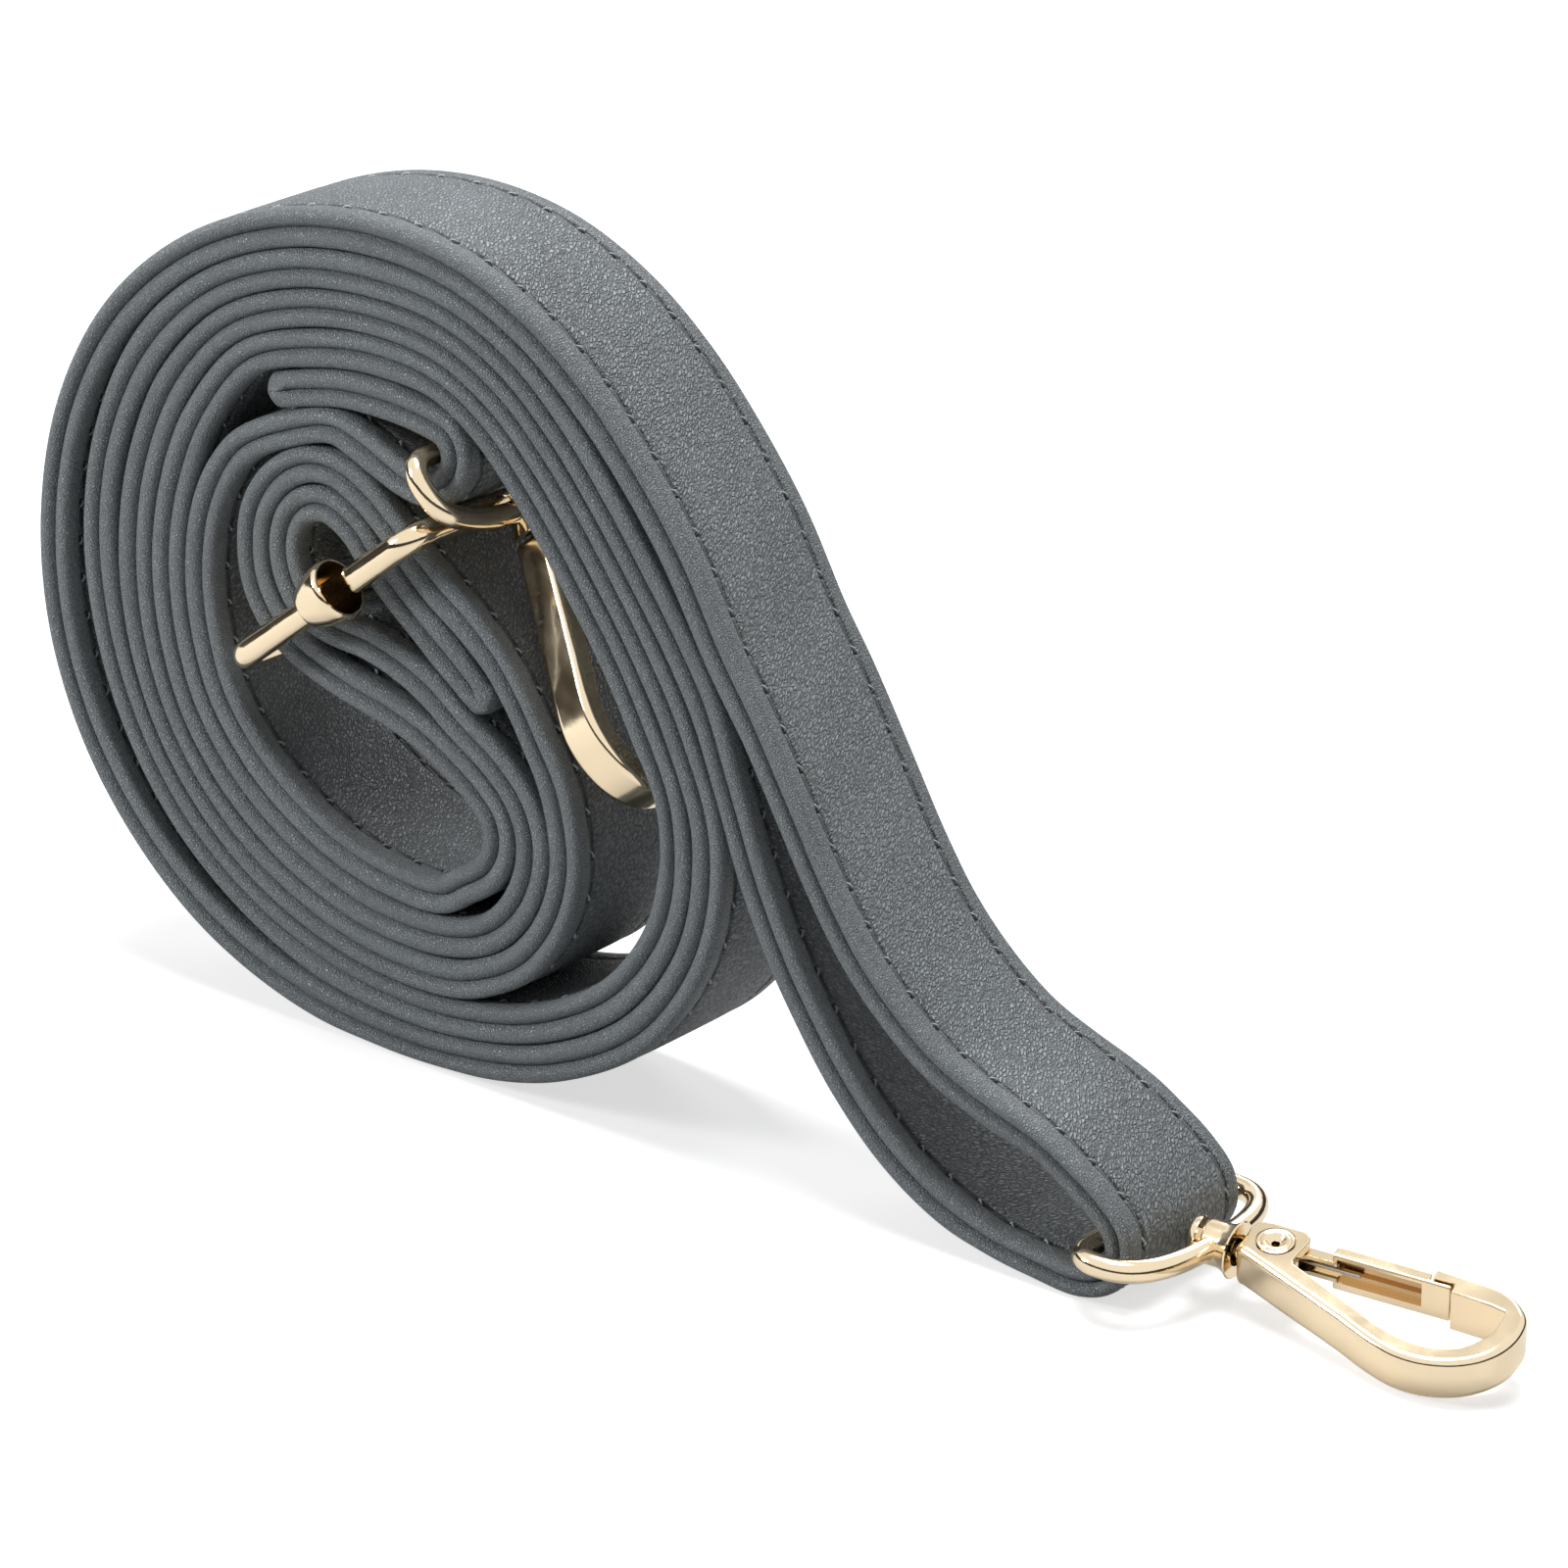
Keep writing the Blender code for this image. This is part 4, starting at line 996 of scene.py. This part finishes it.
def new_group(name, inputs, outputs):
    group = bpy.data.node_groups.new(name, "ShaderNodeTree")
    for socket, kind, value in inputs:
        made = group.interface.new_socket(name=socket, in_out="INPUT", socket_type=kind)
        if value is not None:
            made.default_value = value
    for socket, kind in outputs:
        group.interface.new_socket(name=socket, in_out="OUTPUT", socket_type=kind)
    return group, group.nodes.new("NodeGroupInput"), group.nodes.new("NodeGroupOutput")


def grain_group():
    """Pebbled leather grain: a height, a crease mask and a slow tone, from a place in metres."""
    old = bpy.data.node_groups.get("Leather Grain")
    if old:
        return old
    group, given, result = new_group(
        "Leather Grain",
        [("Place", "NodeSocketVector", None), ("Pebble Size", "NodeSocketFloat", 0.0005),
         ("Stretch", "NodeSocketFloat", 0.55), ("Slant", "NodeSocketFloat", -0.48)],
        [("Height", "NodeSocketFloat"), ("Crease", "NodeSocketFloat"), ("Tone", "NodeSocketFloat")])
    parts = add(group, "ShaderNodeSeparateXYZ", None, {0: given.outputs["Place"]}).outputs
    along = math_node(group, "MULTIPLY_ADD", parts[1], given.outputs["Slant"], parts[0])
    across = math_node(group, "MULTIPLY", parts[1], given.outputs["Stretch"])
    sheared = add(group, "ShaderNodeCombineXYZ", None,
                  {0: along, 1: across, 2: parts[2]}).outputs[0]
    per_metre = math_node(group, "DIVIDE", 1.0, given.outputs["Pebble Size"])
    spot = add(group, "ShaderNodeVectorMath", {"operation": "SCALE"},
               {"Vector": sheared, "Scale": per_metre}).outputs[0]
    warp = add(group, "ShaderNodeTexNoise", None, {"Vector": spot, "Scale": 0.8, "Detail": 2.0})
    shift = add(group, "ShaderNodeVectorMath", {"operation": "MULTIPLY_ADD"},
                {0: warp.outputs["Color"], 1: (1.3, 1.3, 1.3), 2: spot}).outputs[0]
    cells = add(group, "ShaderNodeTexVoronoi", {"feature": "DISTANCE_TO_EDGE"},
                {"Vector": shift, "Scale": 1.0}).outputs["Distance"]
    pebble = remap(group, cells, 0.0, 0.3, 0.0, 1.0)
    fine = add(group, "ShaderNodeTexNoise", None, {"Vector": spot, "Scale": 2.6, "Detail": 3.0})
    folds = add(group, "ShaderNodeTexNoise", None, {"Vector": spot, "Scale": 0.5, "Detail": 1.0})
    height = math_node(group, "MULTIPLY_ADD", fine.outputs["Fac"], 0.35, pebble)
    height = math_node(group, "MULTIPLY_ADD", folds.outputs["Fac"], 0.8, height)
    slow = add(group, "ShaderNodeTexNoise", None, {"Vector": spot, "Scale": 0.03, "Detail": 3.0})
    group.links.new(height, result.inputs["Height"])
    group.links.new(math_node(group, "SUBTRACT", 1.0, pebble), result.inputs["Crease"])
    group.links.new(slow.outputs["Fac"], result.inputs["Tone"])
    return group


def polish_group():
    """Polished plate: slow waves, fine hairlines and a tone, from a place in metres."""
    old = bpy.data.node_groups.get("Polished Plate")
    if old:
        return old
    group, given, result = new_group(
        "Polished Plate",
        [("Place", "NodeSocketVector", None), ("Roughness", "NodeSocketFloat", 0.13)],
        [("Height", "NodeSocketFloat"), ("Roughness", "NodeSocketFloat"),
         ("Tone", "NodeSocketFloat")])
    spot = given.outputs["Place"]
    waves = add(group, "ShaderNodeTexNoise", None, {"Vector": spot, "Scale": 330.0, "Detail": 1.0})
    hairs = add(group, "ShaderNodeTexNoise", None, {"Vector": spot, "Scale": 2600.0, "Detail": 4.0,
                                                  "Distortion": 1.5})
    smudge = add(group, "ShaderNodeTexNoise", None, {"Vector": spot, "Scale": 180.0, "Detail": 3.0})
    height = math_node(group, "MULTIPLY_ADD", hairs.outputs["Fac"], 0.05, waves.outputs["Fac"])
    spread = remap(group, smudge.outputs["Fac"], 0.35, 0.75, 0.75, 1.6)
    rough = math_node(group, "MULTIPLY", given.outputs["Roughness"], spread)
    group.links.new(height, result.inputs["Height"])
    group.links.new(rough, result.inputs["Roughness"])
    group.links.new(smudge.outputs["Fac"], result.inputs["Tone"])
    return group


def new_material(name):
    material = bpy.data.materials.new(name)
    material.use_nodes = True
    return material, material.node_tree, material.node_tree.nodes["Principled BSDF"]


def toned(tree, color, low, high, mask):
    """A colour between two shares of itself, by a mask."""
    dark = tuple(channel * low for channel in color) + (1,)
    light = tuple(channel * high for channel in color) + (1,)
    return mixed(tree, mask, dark, light)


def leather(name, color, pebble, roughness, depth):
    material, tree, shader = new_material(name)
    run = stored(tree, "strap_run", "Vector")
    border = stored(tree, "strap_border")
    groove = stored(tree, "strap_groove")
    grain = add(tree, "ShaderNodeGroup", {"node_tree": grain_group()},
                {"Place": run, "Pebble Size": pebble})
    fine = add(tree, "ShaderNodeGroup", {"node_tree": grain_group()},
               {"Place": run, "Pebble Size": pebble * 0.7, "Stretch": 0.9, "Slant": 0.0})
    crease, raised = (
        add(tree, "ShaderNodeMix", {"data_type": "FLOAT"},
            {0: border, 2: grain.outputs[key], 3: fine.outputs[key]}).outputs[0]
        for key in ("Crease", "Height"))
    # Base colour: partly the grain's own slow tone, partly painted shade darkening the creases and
    # a painted highlight lightening the pebble tops, milder on the edge band.
    slow = remap(tree, grain.outputs["Tone"], 0.3, 0.7, 0.0, 1.0)
    painted_crease_shade = math_node(tree, "MULTIPLY", crease, 0.75)
    mask = math_node(tree, "MULTIPLY_ADD", slow, 0.2, math_node(tree, "SUBTRACT", 0.8, painted_crease_shade))
    body = toned(tree, color, 0.45, 1.35, mask)
    edge = toned(tree, color, 0.6, 1.25, mask)
    tint = mixed(tree, border, body, edge)
    # Painted shadow: the stitch grooves are painted dark where their shadow falls.
    sunk = remap(tree, groove, 0.12, 0.7, 0.0, 1.0)
    painted_shade = toned(tree, color, 0.12, 0.28, mask)
    tint = mixed(tree, sunk, tint, painted_shade)
    tree.links.new(tint, shader.inputs["Base Color"])
    rough = math_node(tree, "MULTIPLY_ADD", crease, 0.2, roughness)
    rough = math_node(tree, "MULTIPLY_ADD", border, -0.05, rough)
    tree.links.new(rough, shader.inputs["Roughness"])
    shader.inputs["Specular IOR Level"].default_value = 0.75
    calm = remap(tree, border, 0.0, 1.0, 1.0, 0.6)
    height = math_node(tree, "MULTIPLY", raised, calm)
    raise_bump(tree, shader, height, 1.0, depth)
    return material


def thread(name, color):
    material, tree, shader = new_material(name)
    spot = add(tree, "ShaderNodeTexCoord").outputs["Object"]
    fibre = add(tree, "ShaderNodeTexNoise", None, {"Vector": spot, "Scale": 5200.0, "Detail": 3.0})
    nick_highlight = stored(tree, "thread_painted_highlight")
    # Painted shade on the thread where it lies in its groove, and a painted highlight on each
    # raised nick.
    dark = toned(tree, color, 0.3, 0.6, fibre.outputs["Fac"])
    light = toned(tree, color, 2.0, 3.0, fibre.outputs["Fac"])
    tree.links.new(mixed(tree, nick_highlight, dark, light), shader.inputs["Base Color"])
    shader.inputs["Roughness"].default_value = 0.55
    shader.inputs["Sheen Weight"].default_value = 0.15
    raise_bump(tree, shader, fibre.outputs["Fac"], 0.6, THREAD_BUMP)
    return material


def metal(name, color, roughness, depth):
    material, tree, shader = new_material(name)
    spot = add(tree, "ShaderNodeTexCoord").outputs["Object"]
    polish = add(tree, "ShaderNodeGroup", {"node_tree": polish_group()},
                 {"Place": spot, "Roughness": roughness})
    plain = toned(tree, color, 0.94, 1.04, polish.outputs["Tone"])
    # Painted shade: faces marked as deep in a recess get a darker, browner plate colour.
    deep = tuple(channel * share for channel, share in zip(color, RECESS_SHADE_SHARES))
    painted_recess_color = toned(tree, deep, 0.8, 1.1, polish.outputs["Tone"])
    painted_shade = stored(tree, "plate_painted_shade")
    tree.links.new(mixed(tree, painted_shade, plain, painted_recess_color), shader.inputs["Base Color"])
    tree.links.new(polish.outputs["Roughness"], shader.inputs["Roughness"])
    shader.inputs["Metallic"].default_value = 1.0
    raise_bump(tree, shader, polish.outputs["Height"], 0.5, depth)
    return material


def finish(name):
    """One of the part's finishes, made the first time that it is asked for."""
    made = bpy.data.materials.get(name)
    if made:
        return made
    strap = bpy.context.scene.rolled_strap
    hardware = bpy.context.scene.strap_hardware
    if name == "plated gold":
        return metal(name, hardware.plate_color, hardware.plate_roughness, PLATE_BUMP)
    if name == "spring wire":
        return metal(name, hardware.steel_color, 0.3, STEEL_BUMP)
    if name == "sewing thread":
        return thread(name, strap.thread_color)
    back = name == "back leather"
    color = tuple(channel * (0.96 if back else 1.0) for channel in strap.leather_color)
    return leather(name, color, strap.pebble_size, 0.42 if back else 0.39, LEATHER_BUMP)


def place_piece(piece, body, node, material):
    piece.data.materials.append(finish(material))
    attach(piece, body)
    if node:
        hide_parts(node)


def place_plated(piece, body, node):
    place_piece(piece, body, node, "plated gold")


# Steps

class SewPlies(bpy.types.Operator):
    """Lays the strap's two leather plies along its rolled route."""
    bl_idname = "bag_strap.sew_plies"
    bl_label = "Leather Plies"

    def execute(self, context):
        strap = context.scene.rolled_strap
        route = Route(strap.stitch_pitch)
        for side, facing in (("face", -1), ("back", 1)):
            halves = route.half_thickness(facing)
            piece = make_ply(f"strap_{side}_leather", route, facing, halves, strap.stitch_pitch)
            place_piece(piece, "strap", f"strap_{side}_ply", f"{side} leather")
        return {"FINISHED"}


class SewStitches(bpy.types.Operator):
    """Sews the rows of stitches along both edges of each ply."""
    bl_idname = "bag_strap.sew_stitches"
    bl_label = "Stitching"

    def execute(self, context):
        strap = context.scene.rolled_strap
        route = Route(strap.stitch_pitch)
        for side, facing in (("face", -1), ("back", 1)):
            halves = route.half_thickness(facing)
            piece = make_stitches(f"strap_{side}_stitches", route, facing, halves,
                                  strap.stitch_pitch, strap.thread_radius)
            place_piece(piece, "strap", None, "sewing thread")
        return {"FINISHED"}


class BendSlider(bpy.types.Operator):
    """Bends the slider's wire frame and turns its centre bar with two collars."""
    bl_idname = "bag_strap.bend_slider"
    bl_label = "Slider"

    def execute(self, context):
        place_plated(make_slider(), "strap", "slider_frame")
        place_plated(make_slider_bar(), "slider_bar", "slider_center_bar")
        return {"FINISHED"}


class BendRings(bpy.types.Operator):
    """Bends both D rings with their swivel bosses, and turns their headed posts."""
    bl_idname = "bag_strap.bend_rings"
    bl_label = "Rings and Posts"

    def execute(self, context):
        for tag in "ab":
            place_plated(make_ring(tag), f"ring_{tag}", f"hook_{tag}_ring")
            place_plated(make_post(tag), f"hook_{tag}", f"hook_{tag}_swivel_post")
        return {"FINISHED"}


class CastHooks(bpy.types.Operator):
    """Casts both hook bodies."""
    bl_idname = "bag_strap.cast_hooks"
    bl_label = "Hook Bodies"

    def execute(self, context):
        for tag in "ab":
            body = make_hook(tag, context.scene.strap_hardware.edge_round)
            place_plated(body, f"hook_{tag}", f"hook_{tag}_body")
        return {"FINISHED"}


class FitGates(bpy.types.Operator):
    """Folds both gates and fits their rivets and springs."""
    bl_idname = "bag_strap.fit_gates"
    bl_label = "Gates, Rivets and Springs"

    def execute(self, context):
        for tag in "ab":
            place_plated(make_gate(tag), f"gate_{tag}", f"hook_{tag}_gate")
            place_plated(make_rivet(tag), f"hook_{tag}", f"hook_{tag}_gate_rivet")
            place_piece(make_spring(tag), f"gate_{tag}", f"hook_{tag}_gate_spring", "spring wire")
        return {"FINISHED"}


def background_switch(tree, plain, white):
    """Mixes towards white for what the camera sees, straight or in metal."""
    path = add(tree, "ShaderNodeLightPath")
    seen = math_node(tree, "MAXIMUM", path.outputs["Is Camera Ray"], path.outputs["Is Glossy Ray"])
    seen = math_node(tree, "MAXIMUM", seen, path.outputs["Is Transmission Ray"])
    return add(tree, "ShaderNodeMixShader", None, {0: seen, 1: plain, 2: white}).outputs[0]


def soft_lamp(name, place, size, power):
    data = bpy.data.lights.new(name, "AREA")
    data.shape = "RECTANGLE"
    data.size = data.size_y = size
    data.energy = power
    lamp = bpy.data.objects.new(name, data)
    bpy.context.scene.collection.objects.link(lamp)
    lamp.location = place
    lamp.rotation_mode = "QUATERNION"
    lamp.rotation_quaternion = (Vector(AIM) - Vector(place)).to_track_quat("-Z", "Y")


def dark_surround(reach, height):
    """A low dark wall all round, seen only in reflections, which gives metal its dark lines."""
    rings = [[(x, y, up) for x, y in circle(reach, SURROUND_SIDES)] for up in (0, height)]
    mesh = bpy.data.meshes.new("dark_surround")
    sides = SURROUND_SIDES
    faces = [(k, (k + 1) % sides, sides + (k + 1) % sides, sides + k) for k in range(sides)]
    mesh.from_pydata(rings[0] + rings[1], [], faces)
    wall = link("dark_surround", mesh)
    material, tree, shader = new_material("dark surround")
    cloth = add(tree, "ShaderNodeTexNoise", None, {"Scale": 30.0})
    tree.links.new(toned(tree, (0.03, 0.026, 0.022), 0.5, 1.2, cloth.outputs["Fac"]),
                   shader.inputs["Base Color"])
    shader.inputs["Roughness"].default_value = 0.9
    mesh.materials.append(material)
    only_in_reflections(wall)


def only_in_reflections(card):
    for seen in ("camera", "diffuse", "transmission", "volume_scatter", "shadow"):
        setattr(card, f"visible_{seen}", False)


def top_card(place, size, level):
    """A grey card overhead, which tones the flat faces of the plated pieces."""
    half = size / 2
    mesh = bpy.data.meshes.new("top_card")
    mesh.from_pydata([(-half, -half, 0), (half, -half, 0), (half, half, 0), (-half, half, 0)],
                     [], [(0, 1, 2, 3)])
    card = link("top_card", mesh)
    card.location = place
    card.rotation_mode = "QUATERNION"
    card.rotation_quaternion = Vector(place).to_track_quat("Z", "Y")
    material, tree, shader = new_material("top card")
    cloud = add(tree, "ShaderNodeTexNoise", None, {"Scale": 1.6, "Detail": 1.0}).outputs["Fac"]
    glow = toned(tree, (level, level * 0.99, level * 0.97), 0.8, 1.2, cloud)
    shader.inputs["Base Color"].default_value = (0, 0, 0, 1)
    tree.links.new(glow, shader.inputs["Emission Color"])
    shader.inputs["Emission Strength"].default_value = 1.0
    shader.inputs["Specular IOR Level"].default_value = 0.0
    mesh.materials.append(material)
    only_in_reflections(card)


class SetStage(bpy.types.Operator):
    """Sets the pale floor, the soft lamps, the white room and the photograph's camera."""
    bl_idname = "bag_strap.set_stage"
    bl_label = "Stage"

    def execute(self, context):
        stage = context.scene.strap_stage
        reach = FLOOR_REACH
        mesh = bpy.data.meshes.new("pale_floor")
        corners = [(-reach, -reach, 0), (reach, -reach, 0), (reach, reach, 0), (-reach, reach, 0)]
        mesh.from_pydata(corners, [], [(0, 1, 2, 3)])
        floor = link("pale_floor", mesh)
        material, tree, shader = new_material("pale floor")
        shader.inputs["Base Color"].default_value = (*stage.floor_color, 1)
        shader.inputs["Roughness"].default_value = 0.9
        shader.inputs["Specular IOR Level"].default_value = 0.1
        straight = add(tree, "ShaderNodeLightPath").outputs["Is Camera Ray"]
        level = math_node(tree, "MULTIPLY_ADD", straight, FLOOR_GLOW_IN_VIEW, FLOOR_GLOW)
        glow = add(tree, "ShaderNodeEmission", None, {"Color": (1, 1, 1, 1), "Strength": level})
        both = add(tree, "ShaderNodeAddShader", None, {0: shader.outputs[0], 1: glow.outputs[0]})
        result = tree.nodes["Material Output"]
        tree.links.new(background_switch(tree, shader.outputs[0], both.outputs[0]),
                       result.inputs["Surface"])
        mesh.materials.append(material)

        world = bpy.data.worlds.new("white room")
        world.use_nodes = True
        context.scene.world = world
        tree = world.node_tree
        plain = tree.nodes["Background"]
        plain.inputs["Strength"].default_value = stage.room_level
        plain.inputs["Color"].default_value = (1, 1, 1, 1)
        white = add(tree, "ShaderNodeBackground", None, {"Color": (1, 1, 1, 1), "Strength": 1.0})
        tree.links.new(background_switch(tree, plain.outputs[0], white.outputs[0]),
                       tree.nodes["World Output"].inputs["Surface"])

        soft_lamp("key_lamp", *KEY_LAMP, stage.key_power)
        soft_lamp("side_lamp", *SIDE_LAMP, stage.fill_power)
        soft_lamp("back_lamp", *BACK_LAMP, stage.back_power)
        top_card(*TOP_CARD)
        dark_surround(stage.surround_reach, stage.surround_height)

        camera = bpy.data.objects.new("photo_camera", bpy.data.cameras.new("photo_camera"))
        context.scene.collection.objects.link(camera)
        right, back = Vector(CAMERA_RIGHT).normalized(), Vector(CAMERA_BACK).normalized()
        up = back.cross(right).normalized()
        turn = Matrix((up.cross(back), up, back)).transposed().to_4x4()
        camera.matrix_world = Matrix.Translation(CAMERA_PLACE) @ turn
        camera.data.sensor_width = CAMERA_SENSOR
        camera.data.lens = CAMERA_LENS
        camera.data.clip_start, camera.data.clip_end = 0.01, 20.0
        context.scene.camera = camera
        context.scene.view_settings.view_transform = "Standard"
        return {"FINISHED"}


STEPS = (SewPlies, SewStitches, BendSlider, BendRings, CastHooks, FitGates, SetStage)


class StrapPanel(bpy.types.Panel):
    """Lists the strap's sizes, colours and building steps."""
    bl_idname = "VIEW3D_PT_rolled_bag_strap"
    bl_label = "Bag Strap"
    bl_space_type = "VIEW_3D"
    bl_region_type = "UI"
    bl_category = "Bag Strap"

    def draw(self, context):
        for name in ("rolled_strap", "strap_hardware", "strap_stage"):
            settings = getattr(context.scene, name)
            column = self.layout.column()
            for key in settings.__annotations__:
                column.prop(settings, key)
        for step in STEPS:
            self.layout.operator(step.bl_idname)


SETTINGS = {
    "rolled_strap": StrapSettings, "strap_hardware": HardwareSettings, "strap_stage": StageSettings,
}


def register():
    for settings in SETTINGS.values():
        bpy.utils.register_class(settings)
    for name, settings in SETTINGS.items():
        setattr(bpy.types.Scene, name, PointerProperty(type=settings))
    for step in STEPS:
        bpy.utils.register_class(step)
    bpy.utils.register_class(StrapPanel)


def unregister():
    bpy.utils.unregister_class(StrapPanel)
    for step in reversed(STEPS):
        bpy.utils.unregister_class(step)
    for name in SETTINGS:
        delattr(bpy.types.Scene, name)
    for settings in reversed(SETTINGS.values()):
        bpy.utils.unregister_class(settings)


def main():
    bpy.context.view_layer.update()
    register()
    bpy.ops.bag_strap.set_stage()
    bpy.ops.bag_strap.sew_plies()
    bpy.ops.bag_strap.sew_stitches()
    bpy.ops.bag_strap.bend_slider()
    bpy.ops.bag_strap.bend_rings()
    bpy.ops.bag_strap.cast_hooks()
    bpy.ops.bag_strap.fit_gates()


if __name__ == "__main__":
    main()
